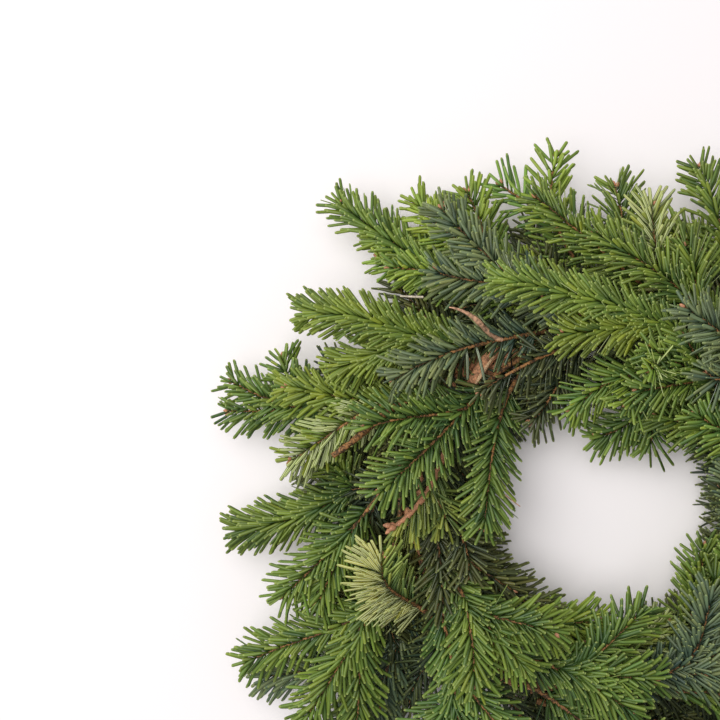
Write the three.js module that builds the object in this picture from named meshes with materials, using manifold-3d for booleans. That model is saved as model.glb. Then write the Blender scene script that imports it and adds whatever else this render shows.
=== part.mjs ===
// A fresh fir wreath lying flat: three willow rods twisted into a ring, cut fir sprays laid on it
// one after another, and one thin wire wound round ring and stems.
// Millimetres, +Z up. The wreath rests on z = 0, and its box is centred on the origin.
import * as THREE from "three";
import { mergeVertices } from "three/addons/utils/BufferGeometryUtils.js";
import Module from "manifold-3d";

const wasm = await Module();
wasm.setup();

// Driving dimensions
const RING_RADIUS = 127; // centreline of the rod ring
const ROD_RADIUS = 4.7;
const ROD_OFFSET = 6.4; // from the ring's centreline to a rod's own
const ROD_TWISTS = 6; // turns that each rod makes round the centreline
const ROD_ROWS = 42;
const ROD_END_GAP = 2.6; // degrees between the two cut ends of a rod
const WIRE_RADIUS = 0.45;
const WIRE_TURNS = 18;
// One turn of the wire as [section angle, distance from the ring's centreline]: it bends over each
// of the five places for stems and crosses beneath the ring through a hollow between two rods.
const WIRE_BENDS = [
  [-10, 17.05],
  [38, 17.05],
  [86, 16.75],
  [134, 17.1],
  [182, 17.1],
  [226, 12.6],
  [270, 9.2],
  [308, 11.6],
];
const STEM_RADIUS = 2.2; // at the cut end
const STEM_TIP_RADIUS = 1.5;
const STEM_SEAT = ROD_OFFSET + ROD_RADIUS + STEM_RADIUS + 0.35;
const SLOT_ANGLES = [-10, 38, 86, 134, 182]; // places round the ring's section, from outside over the top
const BOUND_BEFORE = 6; // degrees of ring that a stem lies along before and after its wire turn
const BOUND_AFTER = 5.5;
const NEEDLE_LENGTH = 24;
const NEEDLE_WIDTH = 2.5;
const NEEDLE_THICKNESS = 1.3;
const NEEDLE_ROOT = 0.42; // its share of the width where it meets the twig
const NEEDLE_SPACING = 13.4; // along a shoot, from one needle to the next
const NEEDLED_LENGTH = 95; // of a main shoot, from its tip back to the bare stem
const LEAST_GAP = 0.35; // between any two pieces
const FLOOR_GAP = 0.8; // that needles keep above the surface below
const STEM_SPACING = 7; // between the centrelines of two stems
const RING_SPACING = ROD_OFFSET + ROD_RADIUS + STEM_RADIUS + 0.2; // from stems to the ring's centreline
const WIRE_SPACING = 3.7; // from stems to points along the wire
const LIFT_STEP = 4; // by which a shoot is raised until it clears those laid before it
const MOST_LIFTS = 8;
const SWINGS = [0, 5, -5, 10, -10, 15, -15]; // degrees by which it is turned aside

// Finishes of the fir, by the age and side of the foliage that shows
const TONES = {
  green: 0x4f7a2c,
  blue: 0x466650,
  lime: 0x7ba23c,
  pale: 0xa3b184,
  dark: 0x34502a,
};

const FLATNESS = 0.08; // by which a spray's faces may be joined into flatter ones

const RAD = Math.PI / 180;
const RING_HEIGHT =
  ROD_OFFSET * Math.cos((Math.PI * ROD_TWISTS) / ROD_ROWS) + ROD_RADIUS * Math.cos(30 * RAD);
const TURN_ANGLE = 360 / WIRE_TURNS;

// Sprays set by hand. turn and slot say where the stem is bound, and way is 1 for a stem laid
// counter-clockwise. tip is [x, y, z, heading]: the shoot's end in millimetres from the ring's
// centre and the way that it points. Each fork is [place along the main shoot, x, y, z, heading].
// A fork listed in bare is a twig that has lost its needles.
const HAND_LAID = [
  { turn: 5, slot: 0, tone: "green", tip: [-179, 207, 34, 142], forks: [[0.5, -150, 190, 24, 128]] },
  { turn: 4, slot: 1, tone: "lime", tip: [-127, 208, 30, 131], forks: [[0.6, -94, 214, 36, 124]] },
  { turn: 4, slot: 2, tone: "blue", tip: [-112, 201, 56, 131], forks: [[0.48, -116, 160, 52, 162]] },
  { turn: 4, slot: 0, tone: "lime", tip: [-34, 238, 40, 70], forks: [[0.62, -71, 220, 30, 147]] },
  { turn: 3, slot: 1, tone: "green", tip: [-50, 208, 56, 142], forks: [[0.42, 5, 218, 36, 110]] },
  { turn: 3, slot: 0, tone: "pale", tip: [23, 203, 62, 95], forks: [] },
  { turn: 2, slot: 0, tone: "green", tip: [61, 231, 34, 120], forks: [[0.5, 44, 189, 26, 159]] },
  { turn: 2, slot: 1, tone: "green", tip: [-13, 183, 66, 151], forks: [[0.45, 46, 176, 52, 140]] },
  { turn: 2, slot: 2, tone: "green", tip: [-78, 154, 80, 169], forks: [[0.38, -35, 119, 68, 183]] },
  { turn: 1, slot: 2, tone: "blue", tip: [38, 135, 88, 149], forks: [[0.5, 57, 94, 72, 122]] },
  {
    turn: 2,
    slot: 3,
    tone: "lime",
    tip: [-26, 68, 42, 226],
    forks: [
      [0.5, 22, 96, 62, 205],
      [0.6, 8, 74, 58, 215],
    ],
  },
  { turn: 2, slot: 4, tone: "green", tip: [-6, 50, 24, 188], forks: [[0.55, 30, 44, 22, 225]] },
  { turn: 17, slot: 4, tone: "dark", tip: [77, 18, 34, 112], forks: [] },
  { turn: 15, slot: 4, tone: "green", tip: [80, -24, 36, 101], forks: [] },
  { turn: 5, slot: 1, tone: "lime", tip: [-145, 163, 46, 180], forks: [[0.5, -153, 172, 28, 152]] },
  { turn: 6, slot: 1, tone: "green", tip: [-199, 133, 58, 182], forks: [[0.34, -179, 97, 42, 202]] },
  {
    turn: 5,
    slot: 2,
    tone: "blue",
    tip: [-143, 90, 66, 211],
    forks: [[0.36, -108, 136, 70, 172]],
    bare: 1,
  },
  {
    turn: 7,
    slot: 0,
    tone: "green",
    tip: [-252, 88, 28, 148],
    forks: [
      [0.58, -254, 68, 26, 178],
      [0.5, -217, 104, 32, 95],
    ],
  },
  {
    turn: 7,
    slot: 1,
    tone: "green",
    tip: [-214, 84, 44, 173],
    forks: [
      [0.3, -183, 40, 58, 212],
      [0.42, -210, 36, 46, 212],
    ],
    bare: 1,
  },
  { turn: 8, slot: 0, tone: "green", tip: [-245, -12, 32, 188], forks: [[0.4, -182, 30, 24, 150]] },
  { turn: 8, slot: 1, tone: "green", tip: [-216, -54, 42, 222], forks: [[0.5, -193, -60, 38, 246]] },
  { turn: 11, slot: 1, way: -1, tone: "pale", tip: [-151, -25, 60, 84], forks: [] },
  { turn: 6, slot: 3, tone: "green", tip: [-152, 18, 74, 222], forks: [[0.28, -162, 59, 72, 199]] },
  { turn: 5, slot: 4, tone: "green", tip: [-84, -6, 56, 264], forks: [] },
  { turn: 7, slot: 3, tone: "pale", tip: [-144, -8, 54, 214], forks: [[0.6, -110, -4, 44, 240]] },
  { turn: 8, slot: 3, tone: "dark", tip: [-110, -63, 42, 272], forks: [[0.4, -63, -51, 36, 331]] },
  { turn: 8, slot: 4, tone: "dark", tip: [-94, -40, 30, 262], forks: [] },
  {
    turn: 9,
    slot: 1,
    tone: "green",
    tip: [-206, -142, 46, 236],
    forks: [
      [0.42, -240, -98, 40, 205],
      [0.5, -172, -160, 42, 252],
    ],
  },
  { turn: 9, slot: 4, tone: "dark", tip: [-38, -66, 32, 338], forks: [[0.5, -74, -72, 36, 318]] },
  { turn: 4, slot: 4, tone: "dark", tip: [-50, 60, 30, 226], forks: [] },
  { turn: 4, slot: 3, tone: "dark", tip: [-86, 82, 50, 212], forks: [] },
];

// The other sprays follow one rule for each slot: fan is the angle from the ring's own direction,
// outwards, and sides lists the forks as [place along the main shoot, turn in degrees, length].
const FIRST_RULED_TURN = 9;
const RULED_TURNS = 11;
const SLOTS_BY_TURN = [
  [1, 3],
  [0, 2, 4],
];
const SLOT_RULES = [
  { fan: 60, length: 140, height: 28, sides: [[0.42, -42, 70], [0.5, 40, 78], [0.7, 36, 52]] },
  { fan: 44, length: 146, height: 48, sides: [[0.36, -40, 74], [0.48, 42, 74], [0.66, -34, 52]] },
  { fan: 18, length: 132, height: 76, sides: [[0.38, 40, 74], [0.52, -40, 60]] },
  { fan: -34, length: 108, height: 62, sides: [[0.42, -34, 52], [0.55, 38, 50]] },
  { fan: -58, length: 88, height: 34, sides: [[0.5, -34, 40]] },
];
const TONE_CYCLE = ["green", "blue", "green", "lime", "green", "dark", "green", "pale"];
const FAN_SPREAD = 9; // random spread of a ruled spray, in degrees, share and millimetres
const LENGTH_SPREAD = 0.1;
const HEIGHT_SPREAD = 5;
const SEED = 20417;

let seed = SEED;
// A number from -1 to 1, the same in each run.
function chance() {
  seed = (seed * 48271) % 2147483647;
  return (2 * seed) / 2147483647 - 1;
}

const vec = (x, y, z) => new THREE.Vector3(x, y, z);
const headed = (angle) => vec(Math.cos(angle * RAD), Math.sin(angle * RAD), 0);

// The point at a ring angle and a section angle, both in degrees, so far from the ring's centreline.
function sectionPoint(ringAngle, sectionAngle, reach) {
  const outward = RING_RADIUS + reach * Math.cos(sectionAngle * RAD);
  const point = headed(ringAngle).multiplyScalar(outward);
  point.z = RING_HEIGHT + reach * Math.sin(sectionAngle * RAD);
  return point;
}

// The ring angle at which the wire passes over a slot on a given turn.
function wireAngle(turn, slot) {
  return turn * TURN_ANGLE + (SLOT_ANGLES[slot] - 90) / WIRE_TURNS;
}

function wirePoints() {
  const points = [];
  for (let turn = 0; turn < WIRE_TURNS; turn++) {
    for (const [section, reach] of WIRE_BENDS) {
      points.push(sectionPoint(turn * TURN_ANGLE + (section - 90) / WIRE_TURNS, section, reach));
    }
  }
  return points;
}

const wireLine = wirePoints();
const wireDots = wireLine.slice(1).flatMap((to, i) => {
  const from = wireLine[i];
  return [0, 0.2, 0.4, 0.6, 0.8].map((share) => from.clone().lerp(to, share));
});

function ruledSpray(turn, slot, count) {
  const rule = SLOT_RULES[slot];
  const start = wireAngle(turn, slot) + BOUND_AFTER;
  const root = sectionPoint(start, SLOT_ANGLES[slot], STEM_SEAT);
  const heading = start + 90 - rule.fan - FAN_SPREAD * chance();
  const length = rule.length * (1 + LENGTH_SPREAD * chance());
  const height = rule.height + HEIGHT_SPREAD * chance();
  const tip = root.clone().addScaledVector(headed(heading + 0.2 * rule.fan), length);
  const forks = rule.sides.map(([place, turnBy, reach]) => {
    const way = heading + turnBy + FAN_SPREAD * chance();
    const foot = root.clone().lerp(tip, place);
    const end = foot.addScaledVector(headed(way), reach * (1 + LENGTH_SPREAD * chance()));
    return [place, end.x, end.y, height + HEIGHT_SPREAD * chance(), way];
  });
  const tone = TONE_CYCLE[count % TONE_CYCLE.length];
  return { turn, slot, tone, tip: [tip.x, tip.y, height, heading], forks };
}

function ruledSprays() {
  const sprays = [];
  for (let i = 0; i < RULED_TURNS; i++) {
    const turn = (FIRST_RULED_TURN + i) % WIRE_TURNS;
    for (const slot of SLOTS_BY_TURN[i % SLOTS_BY_TURN.length]) {
      if (HAND_LAID.some((s) => s.turn === turn && s.slot === slot)) continue;
      sprays.push(ruledSpray(turn, slot, sprays.length));
    }
  }
  return sprays;
}

// A shoot from foot, setting out along its first direction, to a tip that points along heading.
function shootCurve(foot, direction, tip, lift) {
  const [x, y, z, heading] = tip;
  const end = vec(x, y, z + lift);
  const length = end.distanceTo(foot);
  const first = foot.clone().addScaledVector(direction, 0.3 * length);
  const last = end.clone().addScaledVector(headed(heading), -0.4 * length);
  last.z -= 0.04 * length;
  return new THREE.CubicBezierCurve3(foot, first, last, end);
}

const SAMPLES = 20;
const NEAR_FOOT = 3; // samples left out where a shoot leaves its own spray
const SHOOT_STEPS = 6; // straight lengths that a bent main shoot or fork is built of
const FORK_STEPS = 3;
const laid = []; // points along the stems laid so far
const tries = SWINGS.flatMap((swing) =>
  Array.from({ length: MOST_LIFTS + 1 }, (_, lift) => ({ swing, lift })),
).sort((a, b) => a.lift + Math.abs(a.swing) * 0.3 - b.lift - Math.abs(b.swing) * 0.3);

const samples = (curve) => curve.getPoints(SAMPLES).slice(NEAR_FOOT);

function nearest(point, others) {
  return others.reduce((least, other) => Math.min(least, point.distanceToSquared(other)), 1e9) ** 0.5;
}

// How well a shoot clears the stems, the wire and the ring: 1 or more where it does.
function clearance(points) {
  let least = Infinity;
  for (const point of points) {
    const ring = Math.hypot(Math.hypot(point.x, point.y) - RING_RADIUS, point.z - RING_HEIGHT);
    least = Math.min(least, ring / RING_SPACING, nearest(point, laid) / STEM_SPACING);
    if (ring < 1.6 * RING_SPACING) least = Math.min(least, nearest(point, wireDots) / WIRE_SPACING);
  }
  return least;
}

// Raises a shoot and swings it aside, step by step, until it clears what was laid before it.
function layShoot(foot, direction, tip) {
  let best = null;
  for (const { lift, swing } of tries) {
    const [x, y, z, heading] = tip;
    const turned = vec(x, y, z)
      .sub(foot)
      .applyAxisAngle(vec(0, 0, 1), swing * RAD)
      .add(foot);
    const end = [turned.x, turned.y, turned.z, heading + swing];
    const set = direction.clone().applyAxisAngle(vec(0, 0, 1), swing * RAD * 0.5);
    const curve = shootCurve(foot, set, end, lift * LIFT_STEP);
    const gap = clearance(samples(curve));
    if (!best || gap > best.gap) best = { curve, gap, lift: lift * LIFT_STEP, swing };
    if (gap >= 1) break;
  }
  return best;
}

function laySpray(spray) {
  const way = spray.way ?? 1;
  const bound = wireAngle(spray.turn, spray.slot);
  const section = SLOT_ANGLES[spray.slot];
  const seat = (angle) => sectionPoint(bound + way * angle, section, STEM_SEAT);
  const foot = seat(BOUND_AFTER);
  const out = sectionPoint(bound + way * BOUND_AFTER, section, STEM_SEAT + 10).sub(foot);
  const along = headed(bound + way * (BOUND_AFTER + 90)).multiplyScalar(38);
  const direction = along.add(out).normalize();
  const main = layShoot(foot, direction, spray.tip);
  const cut = [seat(-BOUND_BEFORE), seat(0)];
  const shoots = [{ ...main, cut }];
  const fresh = samples(main.curve);
  spray.forks.forEach(([place, ...tip], i) => {
    const start = main.curve.getPoint(place);
    const fork = vec(tip[0], tip[1], tip[2] + main.lift).sub(start).normalize();
    const set = main.curve.getTangent(place).add(fork).normalize();
    const side = layShoot(start, set, tip.with(2, tip[2] + main.lift * 0.8));
    const bare = i < (spray.bare ?? 0);
    shoots.push({ ...side, cut: [], bare });
    fresh.push(...samples(side.curve));
  });
  laid.push(...fresh);
  return shoots;
}

// A closed tube through points: a cylinder whose rows of vertices are moved onto the path.
// sideways gives the direction, at each point, that the section's first axis takes.
function tube(points, radii, sides, sideways) {
  const rows = points.length - 1;
  const geometry = new THREE.CylinderGeometry(1, 1, 1, sides, rows, false, Math.PI / sides);
  const position = geometry.attributes.position;
  for (let i = 0; i < position.count; i++) {
    const row = Math.round((position.getY(i) + 0.5) * rows);
    const before = points[Math.max(row - 1, 0)];
    const after = points[Math.min(row + 1, rows)];
    const along = after.clone().sub(before).normalize();
    const side = sideways(points[row], along).cross(along).normalize();
    const up = side.clone().cross(along);
    const corner = points[row]
      .clone()
      .addScaledVector(side, -position.getX(i) * radii[row])
      .addScaledVector(up, -position.getZ(i) * radii[row]);
    position.setXYZ(i, corner.x, corner.y, corner.z);
  }
  return geometry;
}

const upward = () => vec(0, 0, 1);

// A rod's rows lie evenly either side of its low points, so a level facet rests on the surface
// below at each one. Its two cut ends meet halfway between two low points.
function rodPoints(index) {
  const step = 360 / ROD_ROWS;
  const low = (240 - index * 120) / ROD_TWISTS;
  const first = low + (Math.floor(ROD_ROWS / ROD_TWISTS / 2) + 0.5) * step;
  const points = [];
  for (let i = 0; i < ROD_ROWS; i++) {
    const nearEnd = i === 0 ? -1 : i === ROD_ROWS - 1 ? 1 : 0;
    const angle = first + i * step + (nearEnd * (step - ROD_END_GAP)) / 2;
    points.push(sectionPoint(angle, ROD_TWISTS * angle + 30 + index * 120, ROD_OFFSET));
  }
  return points;
}

function rodGeometry(index) {
  const points = rodPoints(index);
  return tube(points, points.map(() => ROD_RADIUS), 6, upward);
}

function wireGeometry() {
  const outward = (point) => {
    const centre = vec(point.x, point.y, 0).setLength(RING_RADIUS);
    centre.z = RING_HEIGHT;
    return point.clone().sub(centre);
  };
  return tube(wireLine, wireLine.map(() => WIRE_RADIUS), 3, outward);
}

// Closed geometry as a solid, and back.
function solid(geometry) {
  geometry.deleteAttribute("normal");
  geometry.deleteAttribute("uv");
  const merged = mergeVertices(geometry);
  return new wasm.Manifold(
    new wasm.Mesh({
      numProp: 3,
      vertProperties: new Float32Array(merged.attributes.position.array),
      triVerts: new Uint32Array(merged.index.array),
    }),
  );
}

function geometryOf(manifold) {
  const mesh = manifold.getMesh();
  const geometry = new THREE.BufferGeometry();
  geometry.setAttribute("position", new THREE.BufferAttribute(mesh.vertProperties, 3));
  geometry.setIndex(new THREE.BufferAttribute(mesh.triVerts, 1));
  geometry.computeVertexNormals();
  return geometry;
}

// Least distance between two straight segments.
function segmentGap(a, b) {
  const d1 = a.to.clone().sub(a.from);
  const d2 = b.to.clone().sub(b.from);
  const r = a.from.clone().sub(b.from);
  const aa = d1.dot(d1);
  const ee = d2.dot(d2);
  const f = d2.dot(r);
  const c = d1.dot(r);
  const bb = d1.dot(d2);
  const denominator = aa * ee - bb * bb;
  const clamp = (v) => Math.min(1, Math.max(0, v));
  let s = denominator > 1e-9 ? clamp((bb * f - c * ee) / denominator) : 0;
  let t = (bb * s + f) / ee;
  if (t < 0 || t > 1) {
    t = clamp(t);
    s = clamp((bb * t - c) / aa);
  }
  return r.addScaledVector(d1, s).addScaledVector(d2, -t).length();
}

const taken = []; // segments of every piece placed so far, with radius and owner

function take(points, radii, owner, shoot) {
  for (let i = 1; i < points.length; i++) {
    const radius = Math.max(radii[i - 1], radii[i]);
    taken.push({ from: points[i - 1], to: points[i], radius, owner, shoot });
  }
}

function isClear(needle) {
  const middle = needle.from.clone().add(needle.to).multiplyScalar(0.5);
  return taken.every((other) => {
    if (other.shoot === needle.shoot) return true;
    const far = other.from.distanceTo(middle) - other.to.distanceTo(other.from);
    if (far > NEEDLE_LENGTH) return true;
    return segmentGap(needle, other) > needle.radius + other.radius + LEAST_GAP;
  });
}

// A needle's direction: it leans forward along the shoot, more so near the tip, and those that
// would hang beneath are swept out to the sides.
function needleWay(along, turn, lean) {
  const side = vec(0, 0, 1).cross(along).normalize();
  const up = along.clone().cross(side);
  const lift = Math.sin(turn) * 0.62 + 0.22;
  const radial = side.multiplyScalar(Math.cos(turn)).addScaledVector(up, lift).normalize();
  return along.clone().multiplyScalar(Math.cos(lean)).addScaledVector(radial, Math.sin(lean));
}

function needleGeometry(needle) {
  const along = needle.to.clone().sub(needle.from);
  const length = along.length();
  const geometry = new THREE.CylinderGeometry(1, NEEDLE_ROOT, length, 3, 1);
  geometry.scale(NEEDLE_WIDTH / Math.sqrt(3), 1, NEEDLE_THICKNESS / 1.5);
  geometry.translate(0, length / 2, 0);
  along.normalize();
  const side = vec(0, 0, 1).cross(along).normalize();
  const up = along.clone().cross(side);
  geometry.applyMatrix4(new THREE.Matrix4().makeBasis(side, along, up.negate()));
  geometry.translate(...needle.from);
  return geometry;
}

const GOLDEN = 137.5 * RAD;
const BENDS = [
  [0, 1],
  [0.5, 1],
  [-0.5, 1],
  [1.1, 1],
  [-1.1, 1],
  [0, 0.7],
  [1.8, 1],
  [-1.8, 0.8],
];

// The point so far along a shoot, on the straight lengths that it is built of.
function onPath(shoot, place) {
  const steps = shoot.cut.length ? SHOOT_STEPS : FORK_STEPS;
  const points = shoot.path.points.slice(shoot.cut.length);
  const row = Math.min(Math.floor(place * steps), steps - 1);
  return points[row].clone().lerp(points[row + 1], place * steps - row);
}

function shootNeedles(shoot, owner) {
  const length = shoot.curve.getLength();
  const first = shoot.cut.length ? Math.max(0.3, 1 - NEEDLED_LENGTH / length) : 0.18;
  const count = Math.max(3, Math.round(((1 - first) * length) / NEEDLE_SPACING));
  const needles = [];
  for (let i = 0; i < count; i++) {
    const share = (i + 0.5) / count;
    const place = i === count - 1 ? 0.985 : first + (1 - first) * share;
    const from = onPath(shoot, place);
    const along = shoot.curve.getTangent(place);
    const lean = (i === count - 1 ? 12 : 56 - 22 * share) * RAD;
    const reach = NEEDLE_LENGTH * (share > 0.85 ? 0.78 : 1);
    for (const [bend, shorter] of BENDS) {
      const way = needleWay(along, i * GOLDEN + bend, lean);
      const to = from.clone().addScaledVector(way, reach * shorter);
      to.z = Math.max(to.z, FLOOR_GAP + NEEDLE_WIDTH / 2);
      const needle = { from, to, radius: NEEDLE_WIDTH / 2, owner, shoot };
      if (!isClear(needle)) continue;
      needles.push(needle);
      break;
    }
  }
  taken.push(...needles);
  return needles;
}

function shootPath(shoot) {
  const steps = shoot.cut.length ? SHOOT_STEPS : FORK_STEPS;
  const points = [...shoot.cut, ...shoot.curve.getPoints(steps)];
  const start = shoot.cut.length ? STEM_RADIUS : STEM_TIP_RADIUS + 0.3;
  const radii = points.map((_, i) => {
    const share = i / (points.length - 1);
    return start + (STEM_TIP_RADIUS - start) * share;
  });
  return { points, radii };
}

const wreath = new THREE.Group();
const report = { dropped: 0, needles: 0, low: [] };

function addMesh(name, geometry, colour, roughness) {
  const material = new THREE.MeshStandardMaterial({ color: colour, roughness, metalness: 0 });
  const mesh = new THREE.Mesh(geometry, material);
  mesh.name = name;
  wreath.add(mesh);
  return mesh;
}

for (let i = 0; i < 3; i++) addMesh(`willow_rod_${i + 1}`, rodGeometry(i), 0x8a5a3c, 0.8);
const wireMesh = addMesh("binding_wire", wireGeometry(), 0x2c2a28, 0.45);
wireMesh.material.metalness = 0.9;

const sprays = [...HAND_LAID, ...ruledSprays()].map((spray, i) => ({
  tone: spray.tone,
  name: `fir_spray_${String(i + 1).padStart(2, "0")}`,
  shoots: laySpray(spray),
}));
for (let i = 0; i < 3; i++) {
  const points = rodPoints(i);
  take(points, points.map(() => ROD_RADIUS), "rod", null);
}
take(wireLine, wireLine.map(() => WIRE_RADIUS), "wire", "wire");
for (const spray of sprays) {
  for (const shoot of spray.shoots) {
    shoot.path = shootPath(shoot);
    take(shoot.path.points, shoot.path.radii, spray.name, shoot);
  }
}
for (const spray of sprays) {
  const solids = [];
  for (const shoot of spray.shoots) {
    solids.push(solid(tube(shoot.path.points, shoot.path.radii, 3, upward)));
    if (shoot.bare) continue;
    const needles = shootNeedles(shoot, spray.name);
    report.needles += needles.length;
    solids.push(...needles.map((needle) => solid(needleGeometry(needle))));
  }
  const whole = wasm.Manifold.union(solids).asOriginal().simplify(FLATNESS);
  addMesh(spray.name, geometryOf(whole), TONES[spray.tone], 0.5);
}

const box = new THREE.Box3().setFromObject(wreath);
const centre = box.getCenter(vec(0, 0, 0));
wreath.position.set(-centre.x, -centre.y, -box.min.z);

export { sprays, taken, report };
export default wreath;
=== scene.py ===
"""A fresh fir wreath lying flat: twisted willow rods, cut fir sprays bound on them, one thin wire.

Lengths in the layout are millimetres from the ring's centre, and become metres in the meshes.
"""

import math

import bmesh
import bpy
import numpy as np
from mathutils import Matrix, Vector


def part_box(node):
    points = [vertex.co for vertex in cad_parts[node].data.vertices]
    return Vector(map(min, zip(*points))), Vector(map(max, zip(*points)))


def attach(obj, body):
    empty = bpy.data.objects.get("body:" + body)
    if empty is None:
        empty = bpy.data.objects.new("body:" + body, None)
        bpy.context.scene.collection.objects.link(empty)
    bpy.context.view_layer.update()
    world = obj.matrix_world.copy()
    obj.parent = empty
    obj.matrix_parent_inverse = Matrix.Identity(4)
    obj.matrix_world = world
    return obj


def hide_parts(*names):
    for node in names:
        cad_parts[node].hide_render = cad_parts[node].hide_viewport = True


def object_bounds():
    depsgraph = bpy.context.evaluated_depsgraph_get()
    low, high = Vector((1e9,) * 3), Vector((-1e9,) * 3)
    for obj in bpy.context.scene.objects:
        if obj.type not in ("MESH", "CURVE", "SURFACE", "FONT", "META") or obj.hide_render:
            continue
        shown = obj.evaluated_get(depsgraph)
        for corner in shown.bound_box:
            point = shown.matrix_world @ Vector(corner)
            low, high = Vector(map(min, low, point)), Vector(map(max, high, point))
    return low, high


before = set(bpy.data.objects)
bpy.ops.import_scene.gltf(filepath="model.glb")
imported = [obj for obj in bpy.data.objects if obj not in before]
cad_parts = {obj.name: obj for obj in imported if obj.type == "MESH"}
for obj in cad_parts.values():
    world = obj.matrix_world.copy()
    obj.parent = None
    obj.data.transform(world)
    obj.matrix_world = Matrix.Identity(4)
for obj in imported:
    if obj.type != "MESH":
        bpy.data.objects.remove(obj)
cad_low, cad_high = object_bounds()

bl_info = {
    "name": "Fir wreath",
    "version": (1, 0, 0),
    "blender": (4, 5, 0),
    "location": "3D View > Sidebar > Wreath",
    "description": "Fresh fir sprays wired to a ring of twisted willow rods",
    "category": "Add Mesh",
}

MM = 0.001
SEED = 20417
RODS = ("willow_rod_1", "willow_rod_2", "willow_rod_3")
rod_boxes = [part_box(name) for name in RODS]


def middle(axis):
    """The middle of the three rods along an axis."""
    return (min(low[axis] for low, _ in rod_boxes) + max(high[axis] for _, high in rod_boxes)) / 2


RING_CENTRE = np.array([middle(0), middle(1), 0.0])
CAD_TOP = cad_high.z / MM

# The ring and its rods, whose section angles count from the outer side and reach the top at 90
RING_RADIUS = 127.0
ROD_RADIUS = 4.7
ROD_OFFSET = 6.4
ROD_TWISTS = 6
ROD_ROWS = 42
ROD_SIDES = 6
ROD_START = 30
ROD_APART = 120
ROD_END_GAP = 2.6
TOP = 90
BOTTOM = 270
QUARTER_TURN = 90

# How high the ring lies when the six-sided rods of the solids rest on their lowest sides
RING_HEIGHT = ROD_OFFSET * math.cos(math.pi * ROD_TWISTS / ROD_ROWS) + ROD_RADIUS * math.cos(
    math.radians(180 / ROD_SIDES)
)

# A rod's steps and facets, and the swells and knots of its bark, as shares of its radius
ROD_STEPS = 180
ROD_FACETS = 14
ROD_WAVE = 0.02
ROD_WAVE_RATE = 0.31
ROD_ROUGHNESS = 0.012
ROD_SWELLS = (0.9, 1.06)
KNOTS = 6
KNOT_SWELL = (0.05, 0.09, 0.05)
KNOT_MARGIN = 10

# The strip of bare wood on the first rod
PEELED_ANGLES = (125.0, 137.0)
PEEL_STEPS = 10
PEEL_RADIUS = 1.5
PEEL_INSET = 2.0
PEEL_HEIGHT = 0.87
PEEL_TAPER = 0.15

# The wire: its turns, and each turn's bends as section angle and reach
WIRE_TURNS = 18
TURN_ANGLE = 360 / WIRE_TURNS
WIRE_BENDS = [
    (-10, 17.05),
    (38, 17.05),
    (86, 16.75),
    (134, 17.1),
    (182, 17.1),
    (226, 12.6),
    (270, 9.2),
    (308, 11.6),
]
WIRE_FACETS = 6
WIRE_LIFT = 1.05

# Stems: their radii, and where they are bound, in section angles and degrees round the ring
STEM_RADIUS = 2.2
STEM_TIP_RADIUS = 1.5
STEM_CLEARANCE = 0.35
STEM_SEAT = ROD_OFFSET + ROD_RADIUS + STEM_RADIUS + STEM_CLEARANCE
SLOT_ANGLES = [-10, 38, 86, 134, 182]
BOUND_BEFORE = 6
BOUND_AFTER = 5.5
STEM_ALONG = 38
STEM_OUT = 10

# How a shoot curves, as shares of its length, and the places where it is tested
FOOT_PULL = 0.3
TIP_PULL = 0.4
TIP_SAG = 0.04
FORK_LIFT = 0.8
TEST_PLACES = np.arange(3, 21) / 20
LENGTH_STEPS = 60

# How far a shoot stays from what was laid before, and the ways in which it is moved clear
STEM_SPACING = 7
RING_CLEARANCE = 0.2
RING_SPACING = ROD_OFFSET + ROD_RADIUS + STEM_RADIUS + RING_CLEARANCE
WIRE_SPACING = 3.7
WIRE_DOTS = (0, 0.2, 0.4, 0.6, 0.8)
NEAR_RING = 1.6
LIFT_STEP = 4
MOST_LIFTS = 8
SWINGS = [0, 5, -5, 10, -10, 15, -15]
SWING_COST = 0.3
FOOT_SWING = 0.5

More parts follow.
